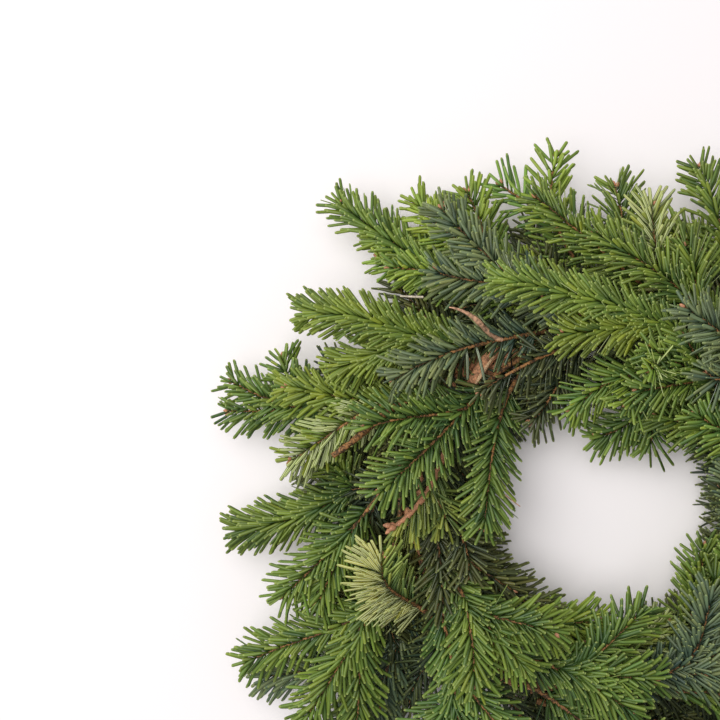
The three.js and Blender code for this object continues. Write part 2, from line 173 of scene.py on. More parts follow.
# Sprays listed one by one: turn, slot, tone, tip as x, y, z and heading, forks with places, way, bare
# forks
HAND_LAID = [
    (5, 0, "green", (-179, 207, 34, 142), [(0.5, -150, 190, 24, 128)]),
    (4, 1, "lime", (-127, 208, 30, 131), [(0.6, -94, 214, 36, 124)]),
    (4, 2, "blue", (-112, 201, 56, 131), [(0.48, -116, 160, 52, 162)]),
    (4, 0, "lime", (-34, 238, 40, 70), [(0.62, -71, 220, 30, 147)]),
    (3, 1, "green", (-50, 208, 56, 142), [(0.42, 5, 218, 36, 110)]),
    (3, 0, "pale", (23, 203, 62, 95), []),
    (2, 0, "green", (61, 231, 34, 120), [(0.5, 44, 189, 26, 159)]),
    (2, 1, "green", (-13, 183, 66, 151), [(0.45, 46, 176, 52, 140)]),
    (2, 2, "green", (-78, 154, 80, 169), [(0.38, -35, 119, 68, 183)]),
    (1, 2, "blue", (38, 135, 88, 149), [(0.5, 57, 94, 72, 122)]),
    (2, 3, "lime", (-26, 68, 42, 226), [(0.5, 22, 96, 62, 205), (0.6, 8, 74, 58, 215)]),
    (2, 4, "green", (-6, 50, 24, 188), [(0.55, 30, 44, 22, 225)]),
    (17, 4, "dark", (77, 18, 34, 112), []),
    (15, 4, "green", (80, -24, 36, 101), []),
    (5, 1, "lime", (-145, 163, 46, 180), [(0.5, -153, 172, 28, 152)]),
    (6, 1, "green", (-199, 133, 58, 182), [(0.34, -179, 97, 42, 202)]),
    (5, 2, "blue", (-143, 90, 66, 211), [(0.36, -108, 136, 70, 172)], 1, 1),
    (7, 0, "green", (-252, 88, 28, 148), [(0.58, -254, 68, 26, 178), (0.5, -217, 104, 32, 95)]),
    (7, 1, "green", (-214, 84, 44, 173), [(0.3, -183, 40, 58, 212), (0.42, -210, 36, 46, 212)], 1, 1),
    (8, 0, "green", (-245, -12, 32, 188), [(0.4, -182, 30, 24, 150)]),
    (8, 1, "green", (-216, -54, 42, 222), [(0.5, -193, -60, 38, 246)]),
    (11, 1, "pale", (-151, -25, 60, 84), [], -1),
    (6, 3, "green", (-152, 18, 74, 222), [(0.28, -162, 59, 72, 199)]),
    (5, 4, "green", (-84, -6, 56, 264), []),
    (7, 3, "pale", (-144, -8, 54, 214), [(0.6, -110, -4, 44, 240)]),
    (8, 3, "dark", (-110, -63, 42, 272), [(0.4, -63, -51, 36, 331)]),
    (8, 4, "dark", (-94, -40, 30, 262), []),
    (9, 1, "green", (-206, -142, 46, 236), [(0.42, -240, -98, 40, 205), (0.5, -172, -160, 42, 252)]),
    (9, 4, "dark", (-38, -66, 32, 338), [(0.5, -74, -72, 36, 318)]),
    (4, 4, "dark", (-50, 60, 30, 226), []),
    (4, 3, "dark", (-86, 82, 50, 212), []),
]

# The other sprays by slot: fan outwards, length, height, forks as place, turn and length
FIRST_RULED_TURN = 9
RULED_TURNS = 11
SLOTS_BY_TURN = [[1, 3], [0, 2, 4]]
SLOT_RULES = [
    (60, 140, 28, [(0.42, -42, 70), (0.5, 40, 78), (0.7, 36, 52)]),
    (44, 146, 48, [(0.36, -40, 74), (0.48, 42, 74), (0.66, -34, 52)]),
    (18, 132, 76, [(0.38, 40, 74), (0.52, -40, 60)]),
    (-34, 108, 62, [(0.42, -34, 52), (0.55, 38, 50)]),
    (-58, 88, 34, [(0.5, -34, 40)]),
]
TONE_CYCLE = ["green", "blue", "green", "lime", "green", "dark", "green", "pale"]
FAN_SPREAD = 9
FAN_SHIFT = 0.2
LENGTH_SPREAD = 0.1
HEIGHT_SPREAD = 5

# Random numbers for the layout come from this generator, which the solids share
MULTIPLIER = 48271
MODULUS = 2147483647

# A needle's rows as place and width, the flatness of its upper side, and its two sides on the map
SECTION_SIDES = 4
NEEDLE_ROWS = [(0.0, 0.45), (0.38, 1.0), (0.94, 0.94), (1.0, 0.55)]
LOW_NEEDLE_ROWS = [(0.0, 0.5), (0.5, 1.0), (1.0, 0.6)]
TOP_FLATNESS = 0.3
UPPER_MIDDLE = 0.25
UNDER_MIDDLE = 0.75
SIDE_SPAN = 0.45

# The number of needles, and how they are spread along a twig and round it
NEEDLE_DENSITY = 1.74
FEWEST_NEEDLES = 6
FIRST_ON_MAIN = 0.12
FIRST_ON_FORK = 0.06
SPACING_SPREAD = 0.3
GOLDEN_SHARE = 0.61803
WIDE_SPREAD = 0.06
STRAY_SHARE = 0.12
SEAT_DEPTH = 0.7
WAVE_SPOTS = 9

# How far needles lean from the twig, in degrees
SIDE_LEAN = (67.0, 57.0)
TOP_LEAN = 7.0
BRUSH_LEAN = 0.9
LEAN_POWER = (0.75, 0.1)
LEAN_SPREAD = 4
LEAN_WAVE = 2.5
TIP_START = 0.84
TIP_SPAN = 0.16
TIP_LEAN = 0.12
FLAT_PARTING = 0.2

# How far needles rise above the twig or drop below it, in degrees
TOP_RISE = 21.0
SIDE_RISE = 2
RISE_SPREAD = 5
RISE_WAVE = 3
UNDER_DROP = 17.0
UNDER_SHARE = 0.5
UNDER_FROM = 0.55

# How needles differ in length, bend and roll. A twig's foot is the first of its six parts.
TOP_SHORTER = 0.27
FOOT_SHORTER = 0.25
FOOT_PARTS = 6
TIP_SHORTER = 0.3
NEEDLE_SPREAD = 0.05
BEND = (0.15, 0.05)
TOP_BEND = 0.25
TURNED_BEND = 0.6
TWISTED_SHARE = 0.05
FULL_TWIST = 1.6
OUTWARD_TILT = 0.15
TURNED_SHARE = 0.65

# How far every needle stays above the table, in millimetres
LOWEST = 0.8

# Young needles that stand up between the others
SHORT_SHARE = 0.24
SHORT = 0.6
SHORT_RISE = 14.0
SHORT_LEAN = 0.85
SHORT_WARMTH = 0.12
FLAT_COOLNESS = 0.06

# Lightness and warmth of needles, from 0 to 1, with painted shade on the needles near the foot of their
# twig
MIDDLE_SHADE = 0.5
TINT_SPREAD = 0.17
TIP_TINT = 0.12
ROOT_PAINTED_SHADE = 0.3
MOST_TINT = 0.95
WARM_SPREAD = 0.12
WARMTH_SHARE = 0.5

# Short low twigs by place and turn, with their draws in degrees and millimetres
FILLER_DENSITY = 1.3
FILLERS = ((0.14, 40.0), (0.2, -36.0), (0.34, 34.0))
FILLER_SWING = 8
FILLER_REACH = (48, 62)
FILLER_SINK = 0.55
FILLER_RISE = (-2, 8)
FILLER_HEIGHTS = (9, 50)
FILLER_THIN = 0.7
FIRST_ON_FILLER = 0.05
FILLER_COVER = np.array([0, 0, 20])
HOLE_RADIUS = 86.0

# By spray, how far needles part over the twig, and their turned side: 1 left, -1 right, 2 both
LEFT = 1
BOTH = 2
USUAL_PARTING = 0.2
HABIT = {
    1: (0.1, 0),
    2: (0.4, 0),
    3: (0.3, 0),
    4: (0.4, 0),
    6: (0.35, BOTH),
    8: (0.08, 0),
    9: (0.04, 0),
    10: (0.35, 0),
    11: (0.12, 0),
    16: (0.05, 0),
    17: (0.3, 0),
    18: (0.3, 0),
    19: (0.12, 0),
    20: (0.04, 0),
    22: (0.2, LEFT),
    23: (0.3, 0),
    24: (0.32, 0),
    25: (0.2, 0),
}
FORK_HABIT = {(19, 2): (0.5, BOTH)}
FIRST_NEEDLES = {20: 0.4, 21: 0.42, 24: 0.3}

# Sprays whose turned needles droop: share of the usual lean, the bend back, and the share of length
DROOP = {22: (1.1, -0.28, 1.2)}
NO_DROOP = (1.0, 0.0, 1.0)
DROOP_SHARE = 0.62

# The other side of such a spray: its share of needles, how far they part, and their shade
PLAIN_SIDE_SHARE = 0.3
PLAIN_SIDE_HABIT = (0.7, 0)
PLAIN_SIDE_SHADE = (-0.04, -0.5)

# How far needles roll about their length, in radians, with the sprays seen more from the side
ROLL = 0.22
ROLLED = {5: 0.8, 8: 0.85, 15: 0.5, 21: 0.4, 25: 0.9, 26: 0.6, 27: 0.7, 29: 0.7, 30: 0.6, 31: 0.6}

# How dense needles are by tone, and by spray, and how long they are by spray
TONE_SHARE = {"green": 1.0, "blue": 1.0, "lime": 0.85, "pale": 0.95, "dark": 0.8}
DENSE = {
    1: 1.2,
    2: 1.1,
    4: 0.6,
    8: 1.15,
    9: 1.35,
    15: 0.8,
    16: 1.6,
    18: 0.75,
    19: 1.15,
    20: 1.5,
    22: 2.2,
    24: 1.1,
}
SIZES = {
    1: 0.95,
    2: 0.95,
    9: 0.92,
    11: 0.95,
    15: 0.8,
    16: 0.97,
    18: 0.9,
    19: 0.92,
    22: 1.1,
    23: 1.06,
}

# Lightness and warmth by spray, or by spray and shoot: partly the sprays' own tone, partly painted shade
# on sprays that lie low or under others. The others are drawn at random.
SHADES = {
    1: (-0.06, -0.1),
    3: (0.03, 0.05),
    4: (-0.05, 0.0),
    (4, 1): (-0.08, -0.6),
    5: (-0.05, 0.3),
    6: (0.05, -0.1),
    8: (-0.12, 0.3),
    9: (0.0, 0.05),
    (9, 1): (-0.02, 0.75),
    10: (0.0, 0.0),
    11: (-0.16, 0.15),
    (11, 0): (-0.34, 0.0),
    12: (-0.14, -0.1),
    15: (-0.05, 0.0),
    16: (-0.01, 0.3),
    17: (0.02, 0.15),
    18: (-0.1, -0.1),
    19: (0.1, 0.45),
    20: (-0.16, 0.2),
    21: (-0.02, -0.1),
    22: (0.0, 0.8),
    23: (-0.1, -0.15),
    24: (-0.14, 0.05),
    25: (-0.1, 0.0),
    51: (-0.28, 0.0),
    56: (-0.15, 0.0),
}
SHADE_SPREAD = (0.06, 0.25)

# A spray whose main shoot is a thick woody twig, with needles on the left of its far part only
WOODY = 25
WOODY_FIRST = 0.4
WOODY_SHARE = 0.7
WOODY_HABIT = (0.3, 0)
WOODY_ROLL = 0.9

# Leafy and bare twigs: steps along them, roughness as a share of their radius, facets round them
TWIG_STEPS = 12
TWIG_TAPER = 0.5
TWIG_ROUGHNESS = 0.04
TWIG_FACETS = 6
BARE_STEPS = 40
BARE_ROUGHNESS = 0.06
BARE_FACETS = 8
BARE_MIDDLE = 0.6

# Radii of bare twigs by spray, at foot, middle and tip
BARE_RADII = {17: (1.7, 1.9, 0.4), 19: (2.5, 2.4, 1.9), 25: (2.4, 2.1, 1.7)}

# Buds: how many, and their size in millimetres
BUD_SIZE = 3.0
TIP_BUDS = 3
WOODY_BUDS = 6
WOODY_BUD_SIZE = 4.5

# A bud's own form, and how the buds of a tip stand apart, as shares of its size
BUD_SEGMENTS = 7
BUD_RINGS = 6
BUD_LENGTH = 1.35
BUD_TAPER = 0.45
BUD_SCALE_DEPTH = 0.12
BUD_SCALE_RATE = 4
BUD_SCALE_TWIST = 2
BUD_TURN = 2.4
BUD_LEAN = 0.75
BUD_APART = 0.6
BUD_BACK = 0.2
BUD_SIZES = (0.85, 1.1)

# Material slots of a spray, in their order; the inner slot, for the needles of the low twigs, takes the
# dark finish, which is partly painted shade
NEEDLES, BARK, INNER_SHADED, BUDS, PEELED, DRY = range(6)

# Needles that hang from a main shoot, banded side up: the place on it, and the tip from there
HANGING = {17: ((0.53, (7.9, -25.0, -3.0)), (0.59, (2.6, -22.0, -4.0)))}
HANGING_BEND = (-0.05, 0.03, -0.1)
HANGING_SHADE = (0.95, 0.5)

# Loose bits: the spray that holds them, their two ends, their radius and their material slot
BITS = {
    3: ((-124.0, 143.0, 60.0), (-139.0, 143.8, 57.0), 0.8, DRY),
    24: ((-71.5, 15.0, 50.0), (-59.5, 5.8, 46.0), 0.42, PEELED),
}
BIT_TAPER = 0.8
BIT_FACETS = 6

# Gaps in the foliage: x, y, half width, half length, turn in degrees, and the height they start at
WINDOWS = [
    (-84.0, 95.5, 10.0, 5.5, 42.0, 21.0),
    (-93.0, 101.0, 9.0, 6.0, 20.0, 40.0),
    (-62.5, 100.0, 2.6, 13.0, -3.0, 24.0),
    (-167.0, 50.5, 14.0, 4.0, 33.0, 53.0),
]
WINDOW_STEPS = 10

# The photograph's view: its middle, its width at the wreath's mid height, and that height
VIEW_CENTRE = (-165.0, 102.3)
VIEW_WIDTH = 475.2
VIEW_HEIGHT = 45.0
LENS = 60.0
SENSOR = 36.0

# The table and the light, in metres from the middle of the table
TABLE_SIZE = 2.0
KEY_SIZE = 2.8
KEY_PLACE = (-1.15, 0.62, 2.2)


def linear(colour):
    """An sRGB hex colour as linear red, green, blue and alpha."""
    parts = [int(colour[i : i + 2], 16) / 255 for i in (0, 2, 4)]
    return tuple(c / 12.92 if c <= 0.04045 else ((c + 0.055) / 1.055) ** 2.4 for c in parts) + (1.0,)


def multiplied(colour, factors, lift=(0.0, 0.0, 0.0)):
    """A colour with each part multiplied and then lifted, up to full strength."""
    return tuple(min(1, part * by + more) for part, by, more in zip(colour, factors, lift)) + (1,)


def colour_property(name, description, colour):
    return bpy.props.FloatVectorProperty(
        name=name,
        description=description,
        subtype="COLOR",
        size=4,
        min=0.0,
        max=1.0,
        default=linear(colour),
    )


def length_property(name, description, millimetres):
    return bpy.props.FloatProperty(
        name=name,
        description=description,
        default=millimetres * MM,
        min=0.0,
        unit="LENGTH",
        subtype="DISTANCE",
    )


class RingSettings(bpy.types.PropertyGroup):
    """Sizes and colours of the rods and the wire."""

    rod_radius: length_property("Rod radius", "Radius of a willow rod under its bark", 4.5)
    wire_radius: length_property("Wire radius", "Radius of the binding wire", 0.45)
    bark: colour_property("Bark", "Dry reddish bark of the willow rods", "c8926c")
    heart: colour_property("Cut wood", "Wood at the rods' ends and where the bark has split", "dcb48c")
    wire: colour_property("Wire", "Dark annealed wire", "2e2b28")


class NeedleSettings(bpy.types.PropertyGroup):
    """Sizes and number of the needles."""

    length: length_property("Length", "Length of a needle at the side of a twig", 23.0)
    width: length_property("Width", "Width of a needle", 2.25)
    thickness: length_property("Thickness", "Thickness of a needle", 0.9)
    density: bpy.props.FloatProperty(
        name="Density",
        description="Needles on each millimetre of twig",
        default=NEEDLE_DENSITY,
        min=0.1,
        max=4.0,
    )


class FoliageSettings(bpy.types.PropertyGroup):
    """Colours of the needles and twigs."""

    green: colour_property("Green", "Upper side of most needles", "5d7834")
    blue: colour_property("Blue-green", "Upper side of the blue-green needles", "586b52")
    lime: colour_property("Lime", "Upper side of young needles", "74913c")
    pale: colour_property("Pale", "Upper side of the sprays that lie turned over", "7c8c42")
    # Dark needles, on the low twigs and some low sprays: partly their own darker tone, partly painted
    # shade
    dark: colour_property("Dark", "Upper side of the inner needles", "434e33")
    # Lighter ends of the needles: partly their own colour, partly a painted highlight
    tip: colour_property("Tip", "Blunt ends of the needles", "a9b764")
    bands: colour_property("Bands", "Two waxy bands beneath a needle", "c4ca9a")
    chalk: colour_property("Chalk", "The same bands on a needle of a blue-green or dark spray", "c2cdb9")
    twig: colour_property("Twig", "Bark of a fir twig", "8c643c")
    bud: colour_property("Bud", "Scales of a bud", "b98464")
    wood: colour_property("Bare wood", "Wood where the bark has come off", "d6a888")
    dry: colour_property("Dry", "A fallen dry needle", "b9b09e")


class StageSettings(bpy.types.PropertyGroup):
    """The table and the studio light."""

    floor: colour_property("Floor", "White table", "f4f0f2")
    key: colour_property("Key colour", "Colour of the large soft light", "fffdfa")
    sky: colour_property("Fill colour", "Colour of the light from all round", "fdfcff")
    key_power: bpy.props.FloatProperty(
        name="Key light", description="Power of the large soft light", default=77.0, min=0.0, unit="POWER"
    )
    fill: bpy.props.FloatProperty(
        name="Fill light", description="Strength of the light from all round", default=0.38, min=0.0
    )


SETTINGS = {
    "wreath_ring": RingSettings,
    "wreath_needles": NeedleSettings,
    "wreath_foliage": FoliageSettings,
    "wreath_stage": StageSettings,
}


# Layout: where each shoot of each spray runs


class Draw:
    """Random numbers from -1 to 1, the same in each run."""

    def __init__(self, seed):
        self.seed = seed

    def chance(self):
        self.seed = (self.seed * MULTIPLIER) % MODULUS
        return (2 * self.seed) / MODULUS - 1


def unit(vector):
    return vector / np.linalg.norm(vector)


def headed(angle):
    return np.array([math.cos(math.radians(angle)), math.sin(math.radians(angle)), 0.0])


def turned(vector, angle):
    c, s = math.cos(math.radians(angle)), math.sin(math.radians(angle))
    return np.array([c * vector[0] - s * vector[1], s * vector[0] + c * vector[1], vector[2]])


def section_point(ring_angle, section_angle, reach):
    """The point at a ring angle and a section angle, so far from the ring's centreline."""
    section = math.radians(section_angle)
    point = headed(ring_angle) * (RING_RADIUS + reach * math.cos(section))
    point[2] = RING_HEIGHT + reach * math.sin(section)
    return point


def wire_angle(turn, section_angle):
    """The ring angle where a turn of the wire passes a section angle."""
    return turn * TURN_ANGLE + (section_angle - TOP) / WIRE_TURNS


def wire_line():
    return [
        section_point(wire_angle(turn, section), section, reach)
        for turn in range(WIRE_TURNS)
        for section, reach in WIRE_BENDS
    ]


class Shoot:
    """A twig's axis, a cubic curve from its foot to its tip."""

    def __init__(self, foot, direction, tip, lift):
        x, y, z, heading = tip
        end = np.array([x, y, z + lift])
        length = np.linalg.norm(end - foot)
        last = end - headed(heading) * TIP_PULL * length
        last[2] -= TIP_SAG * length
        self.controls = np.array([foot, foot + direction * FOOT_PULL * length, last, end])
        self.cut = []
        self.bare = False

    def points(self, places):
        t = np.asarray(places, float)[..., None]
        p = self.controls
        ends = (1 - t) ** 3 * p[0] + 3 * (1 - t) ** 2 * t * p[1]
        return ends + 3 * (1 - t) * t**2 * p[2] + t**3 * p[3]

    def tangents(self, places):
        t = np.asarray(places, float)[..., None]
        p = self.controls
        way = (1 - t) ** 2 * (p[1] - p[0]) + 2 * (1 - t) * t * (p[2] - p[1]) + t**2 * (p[3] - p[2])
        return way / np.linalg.norm(way, axis=-1, keepdims=True)

    def length(self):
        line = self.points(np.linspace(0, 1, LENGTH_STEPS))
        return np.linalg.norm(np.diff(line, axis=0), axis=1).sum()

    def samples(self):
        return self.points(TEST_PLACES)


class Layout:
    """Lays the sprays one after another, each clear of the stems, the wire and the ring."""

    def __init__(self):
        line = wire_line()
        self.wire_dots = np.array([a + (b - a) * s for a, b in zip(line, line[1:]) for s in WIRE_DOTS])
        self.laid = np.zeros((0, 3))
        tries = [(swing, lift) for swing in SWINGS for lift in range(MOST_LIFTS + 1)]
        self.tries = sorted(tries, key=lambda one: one[1] + abs(one[0]) * SWING_COST)
        draw = Draw(SEED)
        ruled = []
        for i in range(RULED_TURNS):
            turn = (FIRST_RULED_TURN + i) % WIRE_TURNS
            for slot in SLOTS_BY_TURN[i % 2]:
                if not any(s[0] == turn and s[1] == slot for s in HAND_LAID):
                    ruled.append(self.ruled(turn, slot, len(ruled), draw))
        self.sprays = [(spray[2], self.lay(*spray)) for spray in HAND_LAID + ruled]

    def ruled(self, turn, slot, count, draw):
        """A spray of the given slot, drawn by that slot's rule."""
        fan, reach, height, sides = SLOT_RULES[slot]
        start = wire_angle(turn, SLOT_ANGLES[slot]) + BOUND_AFTER
        root = section_point(start, SLOT_ANGLES[slot], STEM_SEAT)
        heading = start + QUARTER_TURN - fan - FAN_SPREAD * draw.chance()
        length = reach * (1 + LENGTH_SPREAD * draw.chance())
        height += HEIGHT_SPREAD * draw.chance()
        tip = root + headed(heading + FAN_SHIFT * fan) * length
        forks = []
        for place, turn_by, side in sides:
            way = heading + turn_by + FAN_SPREAD * draw.chance()
            end = root + (tip - root) * place
            end = end + headed(way) * side * (1 + LENGTH_SPREAD * draw.chance())
            forks.append((place, end[0], end[1], height + HEIGHT_SPREAD * draw.chance(), way))
        return turn, slot, TONE_CYCLE[count % len(TONE_CYCLE)], (tip[0], tip[1], height, heading), forks

    def clearance(self, points):
        """1 or more where the points clear what was laid before them."""
        ring = np.hypot(np.hypot(points[:, 0], points[:, 1]) - RING_RADIUS, points[:, 2] - RING_HEIGHT)
        least = ring.min() / RING_SPACING
        if len(self.laid):
            gaps = np.linalg.norm(points[:, None] - self.laid[None], axis=2)
            least = min(least, gaps.min() / STEM_SPACING)
        near = points[ring < NEAR_RING * RING_SPACING]
        if len(near):
            gaps = np.linalg.norm(near[:, None] - self.wire_dots[None], axis=2)
            least = min(least, gaps.min() / WIRE_SPACING)
        return least

    def shoot(self, foot, direction, tip):
        """Raises a shoot and swings it aside, step by step, until it clears the others."""
        x, y, z, heading = tip
        reach = np.array([x, y, z]) - foot
        best = None
        for swing, lift in self.tries:
            end = turned(reach, swing) + foot
            raised = lift * LIFT_STEP
            shoot = Shoot(foot, turned(direction, swing * FOOT_SWING), (*end, heading + swing), raised)
            gap = self.clearance(shoot.samples())
            if best is None or gap > best[0]:
                best = (gap, shoot, raised)
            if gap >= 1:
                break
        return best[1], best[2]

    def lay(self, turn, slot, tone, tip, forks, way=1, bare=0):
        """The shoots of a spray, from its place under the wire, with so many bare forks."""
        section = SLOT_ANGLES[slot]
        bound = wire_angle(turn, section)
        foot = section_point(bound + way * BOUND_AFTER, section, STEM_SEAT)
        out = section_point(bound + way * BOUND_AFTER, section, STEM_SEAT + STEM_OUT) - foot
        along = headed(bound + way * (BOUND_AFTER + QUARTER_TURN)) * STEM_ALONG
        main, lift = self.shoot(foot, unit(along + out), tip)
        main.cut = [section_point(bound - way * BOUND_BEFORE, section, STEM_SEAT)]
        main.cut.append(section_point(bound, section, STEM_SEAT))
        shoots = [main]
        for i, (place, x, y, z, heading) in enumerate(forks):
            start = main.points(place)
            fork = unit(np.array([x, y, z + lift]) - start)
            end = (x, y, z + lift * FORK_LIFT, heading)
            side, _ = self.shoot(start, unit(main.tangents(place) + fork), end)
            side.bare = i < bare
            shoots.append(side)
        self.laid = np.concatenate([self.laid] + [s.samples() for s in shoots])
        return shoots


def fillers(main, rng):
    """Short low twigs near the stem, which close the gaps between the sprays."""
    twigs = []
    for place, turn_by in FILLERS:
        start = main.points(place)
        way = main.tangents(place)
        heading = math.degrees(math.atan2(way[1], way[0])) + turn_by
        heading += rng.uniform(-FILLER_SWING, FILLER_SWING)
        end = start + headed(heading) * rng.uniform(*FILLER_REACH)
        flat = np.hypot(end[0], end[1])
        if flat < HOLE_RADIUS:
            end[:2] *= HOLE_RADIUS / flat
        end[2] = np.clip(start[2] * FILLER_SINK + rng.uniform(*FILLER_RISE), *FILLER_HEIGHTS)
        fork = unit(end - start)
        twigs.append(Shoot(start, unit(way + fork), (*end, heading), 0))
    return twigs


# Needles


def needle_template(rows):
    """One needle along Y, a lens-shaped bar drawn out row by row, with a map of its two sides."""
    form = bmesh.new()
    bmesh.ops.create_circle(form, cap_ends=True, radius=0.5, segments=SECTION_SIDES)
    upright = Matrix.Rotation(math.radians(QUARTER_TURN), 3, "X")
    bmesh.ops.rotate(form, verts=form.verts, cent=(0, 0, 0), matrix=upright)
    start, width = rows[0]
    bmesh.ops.scale(form, verts=form.verts, vec=(width, 1, width))
    faces = list(form.faces)
    for place, wide in rows[1:]:
        grown = bmesh.ops.extrude_face_region(form, geom=faces, use_keep_orig=place == rows[1][0])
        corners = [e for e in grown["geom"] if isinstance(e, bmesh.types.BMVert)]
        bmesh.ops.translate(form, verts=corners, vec=(0, place - start, 0))
        bmesh.ops.scale(form, verts=corners, vec=(wide / width, 1, wide / width))
        faces = [e for e in grown["geom"] if isinstance(e, bmesh.types.BMFace)]
        start, width = place, wide
    bmesh.ops.recalc_face_normals(form, faces=form.faces)
    upper = [v for v in form.verts if v.co.z > 1e-5]
    widest = max(abs(v.co.x) for v in form.verts)
    across = form.loops.layers.uv.new("UVMap")
    for face in form.faces:
        face.smooth = True
        above = face.normal.z >= 0
        for loop in face.loops:
            x = loop.vert.co.x * 0.5 / widest
            u = UPPER_MIDDLE + x * SIDE_SPAN if above else UNDER_MIDDLE - x * SIDE_SPAN
            loop[across].uv = (u, loop.vert.co.y)
    bmesh.ops.scale(form, verts=upper, vec=(1, 1, TOP_FLATNESS))
    mesh = bpy.data.meshes.new("needle")
    form.to_mesh(mesh)
    form.free()
    return mesh


class Needles:
    """The places of all needles of one spray, gathered twig by twig."""

    def __init__(self, rng, settings):
        self.rng = rng
        self.length = settings.length / MM
        self.width = settings.width / MM
        self.thickness = settings.thickness / MM
        self.density = settings.density
        self.rows = []

    def add(self, shoot, first, share, habit, shade, only=0, droop=NO_DROOP, roll=ROLL, size=1.0):
        """Needles along a shoot from its place first to its tip, on both sides or on only one."""
        rng = self.rng
        lightness, warmth = shade
        parted, flipped = habit
        less, curl, longer = droop
        # Places along the twig, and how far round it each needle stands
        count = max(FEWEST_NEEDLES, int(shoot.length() * (1 - first) * self.density * share))
        order = np.arange(count)
        s = (order + 0.5 + rng.uniform(-SPACING_SPREAD, SPACING_SPREAD, count)) / count
        place = first + (1 - first) * s
        along = shoot.tangents(place)
        side = np.cross(np.array([0.0, 0.0, 1.0]), along)
        side /= np.linalg.norm(side, axis=1, keepdims=True)
        up = np.cross(along, side)
        across = 2 * np.mod(order * GOLDEN_SHARE, 1) - 1
        hand = np.sign(across) if not only else np.full(count, float(only))
        drooping = hand == flipped
        gap = parted * (1 - s**4)
        gap = np.where(rng.random(count) < STRAY_SHARE, 0.0, gap)
        wide = np.clip(gap + (1 - gap) * np.abs(across) + rng.normal(0, WIDE_SPREAD, count), 0, 1)
        # Lean from the twig
        near_tip = np.clip((s - TIP_START) / TIP_SPAN, 0, 1)
        flat = min(1, parted / FLAT_PARTING)
        lean = SIDE_LEAN[0] + (SIDE_LEAN[1] - SIDE_LEAN[0]) * s
        lean = lean * wide ** (LEAN_POWER[0] + LEAN_POWER[1] * flat)
        lean = lean * (BRUSH_LEAN + (1 - BRUSH_LEAN) * flat) + TOP_LEAN * flat
        lean *= np.where(drooping, less, 1.0) * (1 - TIP_LEAN * near_tip)
        lean = np.radians(lean + rng.normal(0, LEAN_SPREAD, count)) * hand
        spots = np.linspace(0, 1, WAVE_SPOTS)
        lean += np.radians(np.interp(s, spots, rng.normal(0, LEAN_WAVE, WAVE_SPOTS)))
        short = rng.random(count) < SHORT_SHARE * flat
        lean *= np.where(short, SHORT_LEAN, 1.0)
        # Rise above it
        rise = TOP_RISE * (1 - wide) + SIDE_RISE + rng.normal(0, RISE_SPREAD, count)
        rise += np.where(short, SHORT_RISE, 0.0)
        rise += np.interp(s, spots, rng.normal(0, RISE_WAVE, WAVE_SPOTS))
        rise -= UNDER_DROP * (rng.random(count) < UNDER_SHARE) * (wide > UNDER_FROM)
        rise = np.radians(rise)
        aside = np.cos(lean)[:, None] * along + np.sin(lean)[:, None] * side
        way = np.cos(rise)[:, None] * aside + np.sin(rise)[:, None] * up
        # Length and foot
        length = self.length * size * (1 - TOP_SHORTER * (1 - wide))
        length *= 1 - FOOT_SHORTER * np.clip(1 - s * FOOT_PARTS, 0, 1) - TIP_SHORTER * near_tip
        varied = rng.normal(1, NEEDLE_SPREAD, count)
        length *= varied * np.where(drooping, longer, 1.0) * np.where(short, SHORT, 1.0)
        seat = (hand * wide)[:, None] * side + np.sqrt(1 - wide**2)[:, None] * up
        base = shoot.points(place) + seat * SEAT_DEPTH
        # The way that the upper side faces
        turned_over = (hand == flipped) | ((flipped == BOTH) & (rng.random(count) < TURNED_SHARE))
        over = np.where(turned_over, -1.0, 1.0)
        facing = up * over[:, None] + side * (hand * OUTWARD_TILT)[:, None]
        twist = np.where(rng.random(count) < TWISTED_SHARE, FULL_TWIST, roll) * rng.normal(0, 1, count)
        facing += np.cross(facing, way) * twist[:, None]
        facing -= way * np.sum(facing * way, axis=1)[:, None]
        facing /= np.linalg.norm(facing, axis=1, keepdims=True)
        bend = rng.normal(*BEND, count) * (TOP_BEND + (1 - TOP_BEND) * wide)
        bend = bend * (1.0 + TURNED_BEND * (over < 0))
        bend += np.where(drooping, curl, 0.0) * wide
        # Colour: random lightness and warmth, with painted shade on the needles near the foot of their
        # twig
        tint = MIDDLE_SHADE + lightness + rng.normal(0, TINT_SPREAD, count)
        tint = np.clip(tint + TIP_TINT * s - ROOT_PAINTED_SHADE * (1 - s) ** 3, 0, MOST_TINT)
        warm = MIDDLE_SHADE + WARMTH_SHARE * warmth + rng.normal(0, WARM_SPREAD, count)
        warm = np.clip(warm + np.where(short, SHORT_WARMTH, -FLAT_COOLNESS * flat), 0, 1)
        for i in range(count):
            self.rows.append((base[i], way[i], facing[i], along[i] * bend[i], length[i], tint[i], warm[i]))

    def hang(self, shoot, place, reach):
        """One needle that hangs from a shoot and shows its banded side."""
        up = np.array([0.0, 0.0, 1.0])
        length = np.linalg.norm(reach)
        way = np.array(reach) / length
        facing = unit(way * way[2] - up)
        base = shoot.points(place) - up
        self.rows.append((base, way, facing, np.array(HANGING_BEND), length, *HANGING_SHADE))

    def clear_windows(self):
        """Leaves out the needles that would hide a gap in the foliage."""
        if not self.rows:
            return
        base, way, _, bend, length, _, _ = (np.array(part) for part in zip(*self.rows))
        t = np.linspace(0, 1, WINDOW_STEPS)[None, :, None]
        spots = base[:, None] + (way[:, None] + bend[:, None] * t) * length[:, None, None] * t
        hidden = in_window(spots).any(axis=1)
        self.rows = [row for row, hides in zip(self.rows, hidden) if not hides]

